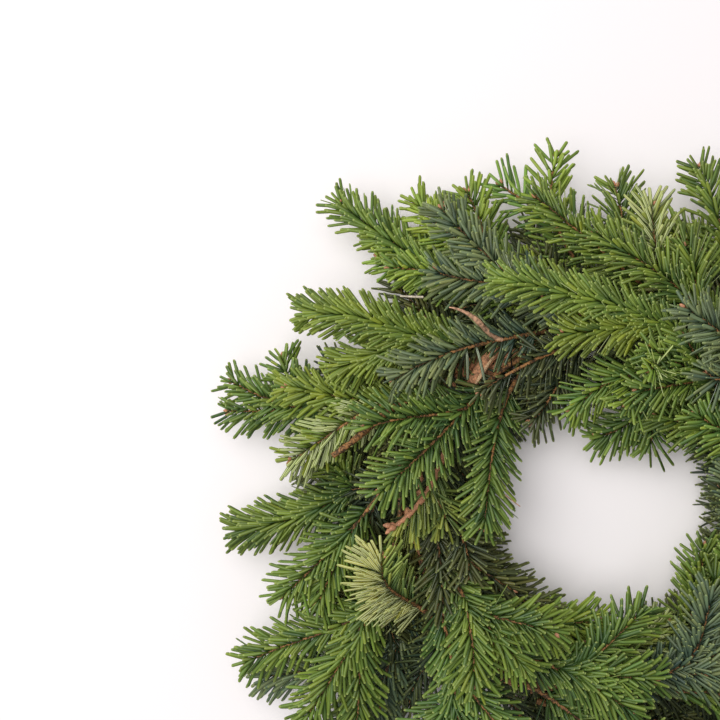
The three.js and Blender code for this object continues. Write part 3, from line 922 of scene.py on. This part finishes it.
    def mesh(self, name, template):
        """All needles as one mesh: the template repeated, then each copy put in its place."""
        holder = bpy.data.objects.new(name, template)
        bpy.context.scene.collection.objects.link(holder)
        copies = holder.modifiers.new("Repeat", "ARRAY")
        copies.count = len(self.rows)
        copies.relative_offset_displace = (0, 0, 0)
        graph = bpy.context.evaluated_depsgraph_get()
        mesh = bpy.data.meshes.new_from_object(holder.evaluated_get(graph))
        bpy.data.objects.remove(holder)
        shape = np.empty(len(template.vertices) * 3)
        template.vertices.foreach_get("co", shape)
        x, y, z = shape.reshape(-1, 3).T
        base, way, facing, bend, length, tint, warm = (np.array(part) for part in zip(*self.rows))
        sideways = np.cross(way, facing)
        wide = (self.width * self.rng.normal(1, NEEDLE_SPREAD, len(length)))[:, None, None]
        long = length[:, None, None]
        t = y[None, :, None]
        places = base[:, None] + way[:, None] * long * t + bend[:, None] * long * t * t
        places = places + sideways[:, None] * wide * x[None, :, None]
        places = places + facing[:, None] * self.thickness * z[None, :, None]
        places[..., 2] = np.clip(places[..., 2], LOWEST, CAD_TOP)
        mesh.vertices.foreach_set("co", (places * MM + RING_CENTRE).ravel())
        for key, values in (("tint", tint), ("warm", warm)):
            layer = mesh.attributes.new(key, "FLOAT", "POINT")
            layer.data.foreach_set("value", np.repeat(values, len(x)))
        mesh.update()
        return mesh


def in_window(points):
    """Which points lie over a gap in the foliage."""
    inside = np.zeros(points.shape[:-1], bool)
    for x, y, half_width, half_length, angle, floor in WINDOWS:
        along = headed(angle)
        dx, dy = points[..., 0] - x, points[..., 1] - y
        across = (dx * along[0] + dy * along[1]) / half_width
        length = (dy * along[0] - dx * along[1]) / half_length
        inside |= (across**2 + length**2 < 1) & (points[..., 2] > floor)
    return inside


# Meshes and objects


def tube(name, points, radii, facets):
    """A closed round tube along points, given in millimetres, as a mesh."""
    curve = bpy.data.curves.new(name, "CURVE")
    curve.dimensions = "3D"
    curve.bevel_depth = MM
    curve.bevel_resolution = (facets - 4) // 2
    curve.use_fill_caps = True
    line = curve.splines.new("POLY")
    line.points.add(len(points) - 1)
    for spot, point, radius in zip(line.points, points, radii):
        spot.co = (*(Vector(point) * MM + Vector(RING_CENTRE)), 1)
        spot.radius = radius
    holder = bpy.data.objects.new(name, curve)
    bpy.context.scene.collection.objects.link(holder)
    graph = bpy.context.evaluated_depsgraph_get()
    mesh = bpy.data.meshes.new_from_object(holder.evaluated_get(graph))
    bpy.data.objects.remove(holder)
    bpy.data.curves.remove(curve)
    return mesh


def joined(name, meshes):
    """Several meshes, each with its material slot, as one smooth object at the origin."""
    form = bmesh.new()
    for mesh, slot in meshes:
        for polygon in mesh.polygons:
            polygon.material_index = slot
        form.from_mesh(mesh)
    whole = bpy.data.meshes.new(name)
    form.to_mesh(whole)
    form.free()
    for mesh, _ in meshes:
        bpy.data.meshes.remove(mesh)
    for polygon in whole.polygons:
        polygon.use_smooth = True
    piece = bpy.data.objects.new(name, whole)
    bpy.context.scene.collection.objects.link(piece)
    return piece


# Materials


def node(tree, kind, inputs=None, **settings):
    """A node with its settings, and its inputs as values or links."""
    made = tree.nodes.new(kind)
    for key, value in settings.items():
        setattr(made, key, value)
    for key, value in (inputs or {}).items():
        if isinstance(value, bpy.types.NodeSocket):
            tree.links.new(value, made.inputs[key])
        else:
            made.inputs[key].default_value = value
    return made


def new_material(name):
    material = bpy.data.materials.new(name)
    material.use_nodes = True
    tree = material.node_tree
    tree.nodes.clear()
    return material, tree


def finish_material(tree, inputs):
    shader = node(tree, "ShaderNodeBsdfPrincipled", inputs)
    node(tree, "ShaderNodeOutputMaterial", {"Surface": shader.outputs["BSDF"]})


# A needle's shades, partly random tone and partly painted shade towards its foot: the patches' size in
# millimetres, and factors on red, green and blue
PATCH_GRAIN = 28
PAINTED_FOOT_SHADE = (-0.42, 0.08)
PAINTED_FOOT_SHADE_END = 0.7
SHADE_RANGE = (0.55, 1.5)
DARKER = (0.42, 0.5, 0.6)
LIGHTER = (1.75, 1.5, 1.15)
LIFTED = (0.012, 0.012, 0.0)
COOL_HUE = (0.74, 0.94, 1.2, 1)
WARM_HUE = (1.3, 1.06, 0.66, 1)

# A needle's groove with its painted shade, bands, tip with its painted highlight, and gloss, with widths
# and places as shares of the needle's map
GROOVE_PAINTED_SHADE = (0.3, 0.36, 0.4)
GROOVE_WIDTH = 0.07
GROOVE_SHADE_STRENGTH = 0.3
BAND_STOPS = [(0.59, 0), (0.63, 1), (0.67, 1), (0.72, 0), (0.78, 0), (0.83, 1), (0.87, 1), (0.91, 0)]
TIP_FROM = 0.93
TIP_AND_HIGHLIGHT = 0.75
FROSTED_TIP_AND_HIGHLIGHT = 0.5
GLOSSY = 0.4
CHALKY = 0.8
CUTICLE_IOR = 1.45
NEEDLE_BUMP = 0.35
NEEDLE_BUMP_DEPTH = 0.4


def needle_material(name, colour, bands_colour, tip_and_highlight_colour, tip_and_highlight):
    """Fir needle: a waxy cuticle over green, glossy above, with two dull chalky bands beneath."""
    material, tree = new_material(name)
    uv = node(tree, "ShaderNodeUVMap", uv_map="UVMap").outputs["UV"]
    split = node(tree, "ShaderNodeSeparateXYZ", {"Vector": uv})
    # Needles differ in lightness one by one and in patches, and painted shade darkens each towards its
    # foot
    tint = node(tree, "ShaderNodeAttribute", attribute_name="tint").outputs["Fac"]
    place = node(tree, "ShaderNodeTexCoord").outputs["Object"]
    inputs = {"Vector": place, "Scale": 1 / (PATCH_GRAIN * MM), "Detail": 1.0}
    patches = node(tree, "ShaderNodeTexNoise", inputs).outputs["Fac"]
    inputs = {
        "Value": split.outputs["Y"],
        "From Max": PAINTED_FOOT_SHADE_END,
        "To Min": PAINTED_FOOT_SHADE[0],
        "To Max": PAINTED_FOOT_SHADE[1],
    }
    along = node(tree, "ShaderNodeMapRange", inputs).outputs["Result"]
    mix = node(tree, "ShaderNodeMath", {0: tint, 1: patches}, operation="ADD").outputs[0]
    mix = node(tree, "ShaderNodeMath", {0: mix, 1: along}, operation="ADD").outputs[0]
    inputs = {"Value": mix, "From Min": SHADE_RANGE[0], "From Max": SHADE_RANGE[1]}
    light = node(tree, "ShaderNodeMapRange", inputs).outputs["Result"]
    inputs = {0: light, 6: multiplied(colour, DARKER), 7: multiplied(colour, LIGHTER, LIFTED)}
    body = node(tree, "ShaderNodeMix", inputs, data_type="RGBA").outputs[2]
    # They also differ in warmth
    warm = node(tree, "ShaderNodeAttribute", attribute_name="warm").outputs["Fac"]
    hue = node(tree, "ShaderNodeMix", {0: warm, 6: COOL_HUE, 7: WARM_HUE}, data_type="RGBA").outputs[2]
    inputs = {0: 1.0, 6: body, 7: hue}
    body = node(tree, "ShaderNodeMix", inputs, data_type="RGBA", blend_type="MULTIPLY").outputs[2]
    # Painted shade in the groove along the middle of the upper side: a darker line
    inputs = {0: split.outputs["X"], 1: UPPER_MIDDLE}
    off_middle = node(tree, "ShaderNodeMath", inputs, operation="SUBTRACT").outputs[0]
    off_middle = node(tree, "ShaderNodeMath", {0: off_middle}, operation="ABSOLUTE").outputs[0]
    inputs = {"Value": off_middle, "From Max": GROOVE_WIDTH, "To Min": GROOVE_SHADE_STRENGTH, "To Max": 0.0}
    groove_shade = node(tree, "ShaderNodeMapRange", inputs).outputs["Result"]
    inputs = {0: groove_shade, 6: body, 7: multiplied(colour, GROOVE_PAINTED_SHADE)}
    body = node(tree, "ShaderNodeMix", inputs, data_type="RGBA").outputs[2]
    # The two bands of pores beneath
    bands = node(tree, "ShaderNodeValToRGB", {"Fac": split.outputs["X"]})
    bands.color_ramp.interpolation = "EASE"
    ramp_stops(bands.color_ramp, BAND_STOPS)
    inputs = {0: bands.outputs["Color"], 6: body, 7: tuple(bands_colour)}
    body = node(tree, "ShaderNodeMix", inputs, data_type="RGBA").outputs[2]
    # The blunt end: lighter lime, partly the needle's own colour and partly a painted highlight where the
    # end catches the light
    inputs = {"Value": split.outputs["Y"], "From Min": TIP_FROM, "From Max": 1.0, "To Max": tip_and_highlight}
    tip = node(tree, "ShaderNodeMapRange", inputs).outputs["Result"]
    inputs = {0: tip, 6: body, 7: tuple(tip_and_highlight_colour)}
    body = node(tree, "ShaderNodeMix", inputs, data_type="RGBA").outputs[2]
    # Glossy above and dull on the bands
    inputs = {"Value": bands.outputs["Color"], "To Min": GLOSSY, "To Max": CHALKY}
    rough = node(tree, "ShaderNodeMapRange", inputs).outputs["Result"]
    inputs = {"Height": off_middle, "Strength": NEEDLE_BUMP, "Distance": NEEDLE_BUMP_DEPTH * MM}
    normal = node(tree, "ShaderNodeBump", inputs).outputs["Normal"]
    finish_material(tree, {"Base Color": body, "Roughness": rough, "IOR": CUTICLE_IOR, "Normal": normal})
    return material


def ramp_stops(ramp, stops):
    """Black and white stops on a ramp, from left to right."""
    while len(ramp.elements) < len(stops):
        ramp.elements.new(0.5)
    for element, (place, level) in zip(ramp.elements, stops):
        element.position = place
        element.color = (level, level, level, 1)


# Bark and wood: the coarse grain by the fine one, the lightest shade, and the relief in millimetres
COARSER = 4
BARK_LIGHT = (1.5, 1.45, 1.4)
BARK_BUMP = 0.6
BARK_BUMP_DEPTH = 0.5
BARK_SPAN = (0.75, 1.3)
TWIG_SPAN = (0.85, 1.18)


def bark_material(name, colour, grain, rough, streak, span=BARK_SPAN):
    """Bark or wood: dull, with darker cracks and spots at the given grain in millimetres."""
    material, tree = new_material(name)
    place = node(tree, "ShaderNodeTexCoord").outputs["Object"]
    inputs = {"Vector": place, "Scale": 1 / (grain * COARSER * MM), "Detail": 4.0}
    coarse = node(tree, "ShaderNodeTexNoise", inputs).outputs["Fac"]
    inputs = {"Vector": place, "Scale": 1 / (grain * MM), "Detail": 6.0}
    fine = node(tree, "ShaderNodeTexNoise", inputs).outputs["Fac"]
    both = node(tree, "ShaderNodeMath", {0: coarse, 1: fine}, operation="ADD").outputs[0]
    inputs = {"Value": both, "From Min": span[0], "From Max": span[1]}
    mask = node(tree, "ShaderNodeMapRange", inputs).outputs["Result"]
    inputs = {0: mask, 6: multiplied(colour, (streak,) * 3), 7: multiplied(colour, BARK_LIGHT)}
    body = node(tree, "ShaderNodeMix", inputs, data_type="RGBA").outputs[2]
    inputs = {"Height": both, "Strength": BARK_BUMP, "Distance": BARK_BUMP_DEPTH * MM}
    normal = node(tree, "ShaderNodeBump", inputs).outputs["Normal"]
    finish_material(tree, {"Base Color": body, "Roughness": rough, "Normal": normal})
    return material


# Wire and table: the size of their patches in millimetres, and how dull they are
WIRE_GRAIN = 3
WIRE_METAL = 0.8
WIRE_ROUGH = (0.35, 0.6)
TABLE_GRAIN = 500
TABLE_ROUGH = (0.6, 0.75)


def wire_material(colour):
    """Annealed steel wire: a thin dark oxide in patches, with a dull glint."""
    material, tree = new_material("annealed wire")
    place = node(tree, "ShaderNodeTexCoord").outputs["Object"]
    inputs = {"Vector": place, "Scale": 1 / (WIRE_GRAIN * MM), "Detail": 3.0}
    spots = node(tree, "ShaderNodeTexNoise", inputs).outputs["Fac"]
    inputs = {"Value": spots, "To Min": WIRE_ROUGH[0], "To Max": WIRE_ROUGH[1]}
    rough = node(tree, "ShaderNodeMapRange", inputs).outputs["Result"]
    finish_material(tree, {"Base Color": tuple(colour), "Metallic": WIRE_METAL, "Roughness": rough})
    return material


def table_material(colour):
    """Matt white table, a little duller in wide patches."""
    material, tree = new_material("white table")
    place = node(tree, "ShaderNodeTexCoord").outputs["Object"]
    inputs = {"Vector": place, "Scale": 1 / (TABLE_GRAIN * MM), "Detail": 1.0}
    mottle = node(tree, "ShaderNodeTexNoise", inputs).outputs["Fac"]
    inputs = {"Value": mottle, "To Min": TABLE_ROUGH[0], "To Max": TABLE_ROUGH[1]}
    rough = node(tree, "ShaderNodeMapRange", inputs).outputs["Result"]
    finish_material(tree, {"Base Color": tuple(colour), "Roughness": rough})
    return material


# Pieces


def rod_angles(index):
    """The ring angles along a rod, whose two ends almost meet about half a twist past a low point."""
    step = 360 / ROD_ROWS
    low = (BOTTOM - ROD_START - index * ROD_APART) / ROD_TWISTS
    first = low + (math.floor(ROD_ROWS / ROD_TWISTS / 2) + 0.5) * step + ROD_END_GAP / 2 - step / 2
    return np.linspace(first, first + 360 - ROD_END_GAP, ROD_STEPS)


def rod_point(index, angle):
    """The middle of a rod at a ring angle: it winds round the ring's centreline."""
    return section_point(angle, ROD_TWISTS * angle + ROD_START + index * ROD_APART, ROD_OFFSET)


def rod_mesh(index, radius, rng):
    """A rod with its swells and knots, lying on the table at its low points."""
    angles = rod_angles(index)
    points = [rod_point(index, angle) for angle in angles]
    swell = 1 + ROD_WAVE * np.sin(angles * ROD_WAVE_RATE + index)
    swell = swell + ROD_ROUGHNESS * rng.normal(size=len(angles))
    for knot in rng.integers(KNOT_MARGIN, len(angles) - KNOT_MARGIN, KNOTS):
        swell[knot - 1 : knot + 2] += KNOT_SWELL
    radii = radius * np.clip(swell, *ROD_SWELLS)
    for point, reach in zip(points, radii):
        point[2] = max(point[2], reach)
    return tube("rod", points, radii, ROD_FACETS)


def peeled_edge(radius):
    """A strip of bare wood on top of the first rod, where its bark has split."""
    points = []
    for angle in np.linspace(*PEELED_ANGLES, PEEL_STEPS):
        point = rod_point(0, angle) - headed(angle) * PEEL_INSET
        point[2] += radius * PEEL_HEIGHT
        points.append(point)
    radii = PEEL_RADIUS * np.sin(np.linspace(PEEL_TAPER, math.pi - PEEL_TAPER, PEEL_STEPS)) ** 0.5
    return tube("peel", points, radii, TWIG_FACETS)


class WREATH_OT_rods(bpy.types.Operator):
    """Three willow rods twisted into a ring"""

    bl_idname = "wreath.rods"
    bl_label = "Willow rods"

    def execute(self, context):
        settings = context.scene.wreath_ring
        # Willow dried in its bark: reddish and finely cracked, with paler, smoother wood inside
        bark = bark_material("dry willow bark", settings.bark, grain=1.6, rough=0.75, streak=0.4)
        heart = bark_material("cut willow wood", settings.heart, grain=1.0, rough=0.7, streak=0.7)
        radius = settings.rod_radius / MM
        rng = np.random.default_rng(SEED)
        for index, name in enumerate(RODS):
            parts = [(rod_mesh(index, radius, rng), 0)]
            if index == 0:
                parts.append((peeled_edge(radius), 1))
            piece = joined(name + "_bark", parts)
            piece.data.materials.append(bark)
            piece.data.materials.append(heart)
            for face in piece.data.polygons:
                if len(face.vertices) > 4:
                    face.material_index = 1
                    face.use_smooth = False
            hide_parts(name)
            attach(piece, "root")
        return {"FINISHED"}


class WREATH_OT_wire(bpy.types.Operator):
    """The wire wound round ring and stems"""

    bl_idname = "wreath.wire"
    bl_label = "Binding wire"

    def execute(self, context):
        settings = context.scene.wreath_ring
        radius = settings.wire_radius / MM
        line = wire_line()
        for point in line:
            point[2] = max(point[2], radius * WIRE_LIFT)
        piece = joined("wound_wire", [(tube("wire", line, [radius] * len(line), WIRE_FACETS), 0)])
        piece.data.materials.append(wire_material(settings.wire))
        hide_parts("binding_wire")
        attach(piece, "root")
        return {"FINISHED"}


def twig_mesh(shoot, rng, thin=1.0):
    """The twig itself, from its cut end to its tip."""
    points = list(shoot.cut) + list(shoot.points(np.linspace(0, 1, TWIG_STEPS)))
    start = STEM_RADIUS if shoot.cut else STEM_TIP_RADIUS
    radii = np.linspace(start, STEM_TIP_RADIUS * TWIG_TAPER, len(points)) * thin
    return tube("twig", points, radii * rng.normal(1, TWIG_ROUGHNESS, len(points)), TWIG_FACETS)


def woody_mesh(shoot, rng, profile):
    """A bare woody twig, rough with the scars of its needles."""
    points = list(shoot.cut) + list(shoot.points(np.linspace(0, 1, BARE_STEPS)))
    radii = np.interp(np.linspace(0, 1, len(points)), (0, BARE_MIDDLE, 1), profile)
    return tube("twig", points, radii * rng.normal(1, BARE_ROUGHNESS, len(points)), BARE_FACETS)


def bud_mesh(tip, way, size):
    """One pointed bud of resinous scales, set on a twig's tip, in millimetres."""
    form = bmesh.new()
    bmesh.ops.create_uvsphere(form, u_segments=BUD_SEGMENTS, v_segments=BUD_RINGS, radius=size / 2)
    for vert in form.verts:
        height = vert.co.z / size + 0.5
        swell = 1.0 - BUD_TAPER * height**2
        round_it = math.atan2(vert.co.y, vert.co.x)
        step = 1.0 + BUD_SCALE_DEPTH * math.sin(vert.co.z * BUD_SCALE_RATE + BUD_SCALE_TWIST * round_it)
        vert.co = Vector((vert.co.x * swell * step, vert.co.y * swell * step, height * size * BUD_LENGTH))
    turn = Vector(way).to_track_quat("Z", "Y").to_matrix()
    bmesh.ops.rotate(form, verts=form.verts, cent=(0, 0, 0), matrix=turn)
    bmesh.ops.translate(form, verts=form.verts, vec=Vector(tip))
    bmesh.ops.scale(form, verts=form.verts, vec=(MM, MM, MM))
    bmesh.ops.translate(form, verts=form.verts, vec=Vector(RING_CENTRE))
    mesh = bpy.data.meshes.new("bud")
    form.to_mesh(mesh)
    form.free()
    return mesh


def tip_buds(shoot, rng, count, size):
    """Buds at the end of a shoot: one ahead and the others beside it."""
    tip, way = shoot.points(1.0), shoot.tangents(1.0)
    side = unit(np.cross((0.0, 0.0, 1.0), way))
    up = np.cross(way, side)
    buds = []
    for i in range(count):
        around = i * BUD_TURN + rng.uniform(0, 1)
        apart = 0.0 if i == 0 else BUD_LEAN
        aside = math.cos(around) * side + math.sin(around) * up
        spot = tip + aside * apart * size * BUD_APART - way * size * BUD_BACK * i
        buds.append((bud_mesh(spot, unit(way + aside * apart), size * rng.uniform(*BUD_SIZES)), BUDS))
    return buds


class Spray:
    """One spray as it grows: its twigs and buds as meshes with their slots, and its needles."""

    def __init__(self, number, tone, settings):
        self.number = number
        self.tone = tone
        self.rng = np.random.default_rng(SEED + number)
        drawn = self.rng.normal(0, SHADE_SPREAD[0]), self.rng.normal(0, SHADE_SPREAD[1])
        self.shade = SHADES.get(number, drawn)
        self.upper = Needles(self.rng, settings)
        self.lower = Needles(self.rng, settings)
        self.parts = []

    def grow(self, shoots):
        """All that the spray has: its shoots, the low twigs between them, and its loose bits."""
        for index, shoot in enumerate(shoots):
            if self.number == WOODY and shoot.cut:
                self.grow_woody(shoot)
            elif shoot.bare:
                slot = PEELED if self.tone == "blue" else BARK
                self.parts.append((woody_mesh(shoot, self.rng, BARE_RADII[self.number]), slot))
            else:
                self.grow_leafy(shoot, index)
        for shoot in fillers(shoots[0], self.rng):
            if not in_window(shoot.samples() + FILLER_COVER).any():
                self.parts.append((twig_mesh(shoot, self.rng, FILLER_THIN), BARK))
                share = FILLER_DENSITY / NEEDLE_DENSITY
                self.lower.add(shoot, FIRST_ON_FILLER, share, (USUAL_PARTING, 0), self.shade)
        if self.number in BITS:
            start, end, radius, slot = BITS[self.number]
            self.parts.append((tube("bit", (start, end), (radius, radius * BIT_TAPER), BIT_FACETS), slot))
        self.upper.clear_windows()
        self.lower.clear_windows()
        for place, reach in HANGING.get(self.number, ()):
            self.upper.hang(shoots[0], place, reach)

    def grow_woody(self, shoot):
        """A thick woody twig that ends in a cluster of large buds."""
        self.parts.append((woody_mesh(shoot, self.rng, BARE_RADII[self.number]), BUDS))
        self.parts += tip_buds(shoot, self.rng, WOODY_BUDS, WOODY_BUD_SIZE)
        self.upper.add(
            shoot, WOODY_FIRST, WOODY_SHARE, WOODY_HABIT, self.shade, only=LEFT, roll=WOODY_ROLL
        )

    def grow_leafy(self, shoot, index):
        """A twig with its needles and buds, drooping or not."""
        number = self.number
        self.parts.append((twig_mesh(shoot, self.rng), BARK))
        self.parts += tip_buds(shoot, self.rng, TIP_BUDS, BUD_SIZE)
        first = FIRST_NEEDLES.get(number, FIRST_ON_MAIN) if shoot.cut else FIRST_ON_FORK
        share = TONE_SHARE[self.tone] * DENSE.get(number, 1.0)
        usual = HABIT.get(number, (USUAL_PARTING, BOTH if self.tone == "pale" else 0))
        habit = FORK_HABIT.get((number, index), usual)
        shade = SHADES.get((number, index), self.shade)
        roll = ROLLED.get(number, ROLL)
        size = SIZES.get(number, 1.0)
        if number not in DROOP:
            self.upper.add(shoot, first, share, habit, shade, roll=roll, size=size)
            return
        share *= DROOP_SHARE
        side = habit[1]
        self.upper.add(shoot, first, share, habit, shade, side, DROOP[number], roll, size)
        share *= PLAIN_SIDE_SHARE
        self.upper.add(shoot, first, share, PLAIN_SIDE_HABIT, PLAIN_SIDE_SHADE, -side)

    def piece(self, name, fine, plain):
        """The whole spray as one object, with fine needles above and plainer ones below, the lower ones in
        the dark finish that is partly painted shade.
        """
        for needles, template, slot in ((self.upper, fine, NEEDLES), (self.lower, plain, INNER_SHADED)):
            if needles.rows:
                self.parts.append((needles.mesh(name, template), slot))
        return joined(name + "_needles", self.parts)


class WREATH_OT_sprays(bpy.types.Operator):
    """Fir sprays laid round the ring one after another"""

    bl_idname = "wreath.sprays"
    bl_label = "Fir sprays"

    def execute(self, context):
        colours = context.scene.wreath_foliage
        # Blue-green and dark needles are frosted with chalky wax, and their ends show less of the lime
        # colour and painted highlight
        finishes = {}
        for tone in TONE_SHARE:
            frosted = tone in ("blue", "dark")
            bands, tip_and_highlight = (colours.chalk, FROSTED_TIP_AND_HIGHLIGHT) if frosted else (colours.bands, TIP_AND_HIGHLIGHT)
            colour = getattr(colours, tone)
            finishes[tone] = needle_material(tone + " fir needle", colour, bands, colours.tip, tip_and_highlight)
        # Young bark is orange-brown and cracked dark, and peeled wood is pale with few marks
        cracked = {"grain": 1.3, "rough": 0.7, "streak": 0.18, "span": TWIG_SPAN}
        twig = bark_material("fir twig bark", colours.twig, **cracked)
        peeled = bark_material("peeled fir twig", colours.wood, grain=2.2, rough=0.65, streak=0.3)
        # Bud scales are a little shiny with resin, and a dry needle is dull and grey
        bud = bark_material("resinous bud scales", colours.bud, grain=0.6, rough=0.5, streak=0.6)
        dry = bark_material("dry fir needle", colours.dry, grain=1.0, rough=0.7, streak=0.6)
        fine, plain = needle_template(NEEDLE_ROWS), needle_template(LOW_NEEDLE_ROWS)
        for number, (tone, shoots) in enumerate(Layout().sprays, 1):
            name = f"fir_spray_{number:02d}"
            spray = Spray(number, tone, context.scene.wreath_needles)
            spray.grow(shoots)
            piece = spray.piece(name, fine, plain)
            # The third slot is the dark finish, partly painted shade on the needles of the low twigs
            for material in (finishes[tone], twig, finishes["dark"], bud, peeled, dry):
                piece.data.materials.append(material)
            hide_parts(name)
            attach(piece, "root")
        return {"FINISHED"}


class WREATH_OT_stage(bpy.types.Operator):
    """A white table, soft studio light and the photograph's camera"""

    bl_idname = "wreath.stage"
    bl_label = "Table, light and camera"

    def execute(self, context):
        settings = context.scene.wreath_stage
        scene = context.scene
        form = bmesh.new()
        bmesh.ops.create_grid(form, x_segments=2, y_segments=2, size=TABLE_SIZE)
        mesh = bpy.data.meshes.new("table")
        form.to_mesh(mesh)
        form.free()
        table = bpy.data.objects.new("table", mesh)
        scene.collection.objects.link(table)
        mesh.materials.append(table_material(settings.floor))

        world = bpy.data.worlds.new("studio")
        world.use_nodes = True
        background = world.node_tree.nodes["Background"]
        background.inputs["Color"].default_value = settings.sky
        background.inputs["Strength"].default_value = settings.fill
        scene.world = world

        key = bpy.data.lights.new("key", "AREA")
        key.energy = settings.key_power
        key.size = KEY_SIZE
        key.color = settings.key[:3]
        lamp = bpy.data.objects.new("key", key)
        lamp.location = KEY_PLACE
        aim = Vector((0.0, 0.0, 0.0)) - lamp.location
        lamp.rotation_euler = aim.to_track_quat("-Z", "Y").to_euler()
        scene.collection.objects.link(lamp)

        lens = bpy.data.cameras.new("camera")
        lens.lens = LENS
        lens.sensor_width = SENSOR
        camera = bpy.data.objects.new("camera", lens)
        distance = VIEW_WIDTH * LENS / SENSOR
        camera.location = (
            RING_CENTRE[0] + VIEW_CENTRE[0] * MM,
            RING_CENTRE[1] + VIEW_CENTRE[1] * MM,
            (VIEW_HEIGHT + distance) * MM,
        )
        scene.collection.objects.link(camera)
        scene.camera = camera
        scene.view_settings.view_transform = "Standard"
        return {"FINISHED"}


class WREATH_PT_panel(bpy.types.Panel):
    """The wreath's pieces and settings"""

    bl_idname = "WREATH_PT_panel"
    bl_label = "Fir wreath"
    bl_space_type = "VIEW_3D"
    bl_region_type = "UI"
    bl_category = "Wreath"

    def draw(self, context):
        for key, group in SETTINGS.items():
            column = self.layout.column(align=True)
            for name in group.__annotations__:
                column.prop(getattr(context.scene, key), name)
        for operator in OPERATORS:
            self.layout.operator(operator.bl_idname)


OPERATORS = (WREATH_OT_stage, WREATH_OT_rods, WREATH_OT_wire, WREATH_OT_sprays)
CLASSES = tuple(SETTINGS.values()) + OPERATORS + (WREATH_PT_panel,)


def register():
    for group in CLASSES:
        bpy.utils.register_class(group)
    for key, group in SETTINGS.items():
        setattr(bpy.types.Scene, key, bpy.props.PointerProperty(type=group))


def unregister():
    for key in SETTINGS:
        delattr(bpy.types.Scene, key)
    for group in reversed(CLASSES):
        bpy.utils.unregister_class(group)


def main():
    register()
    bpy.ops.wreath.stage()
    bpy.ops.wreath.rods()
    bpy.ops.wreath.wire()
    bpy.ops.wreath.sprays()
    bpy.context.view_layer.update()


if __name__ == "__main__":
    main()
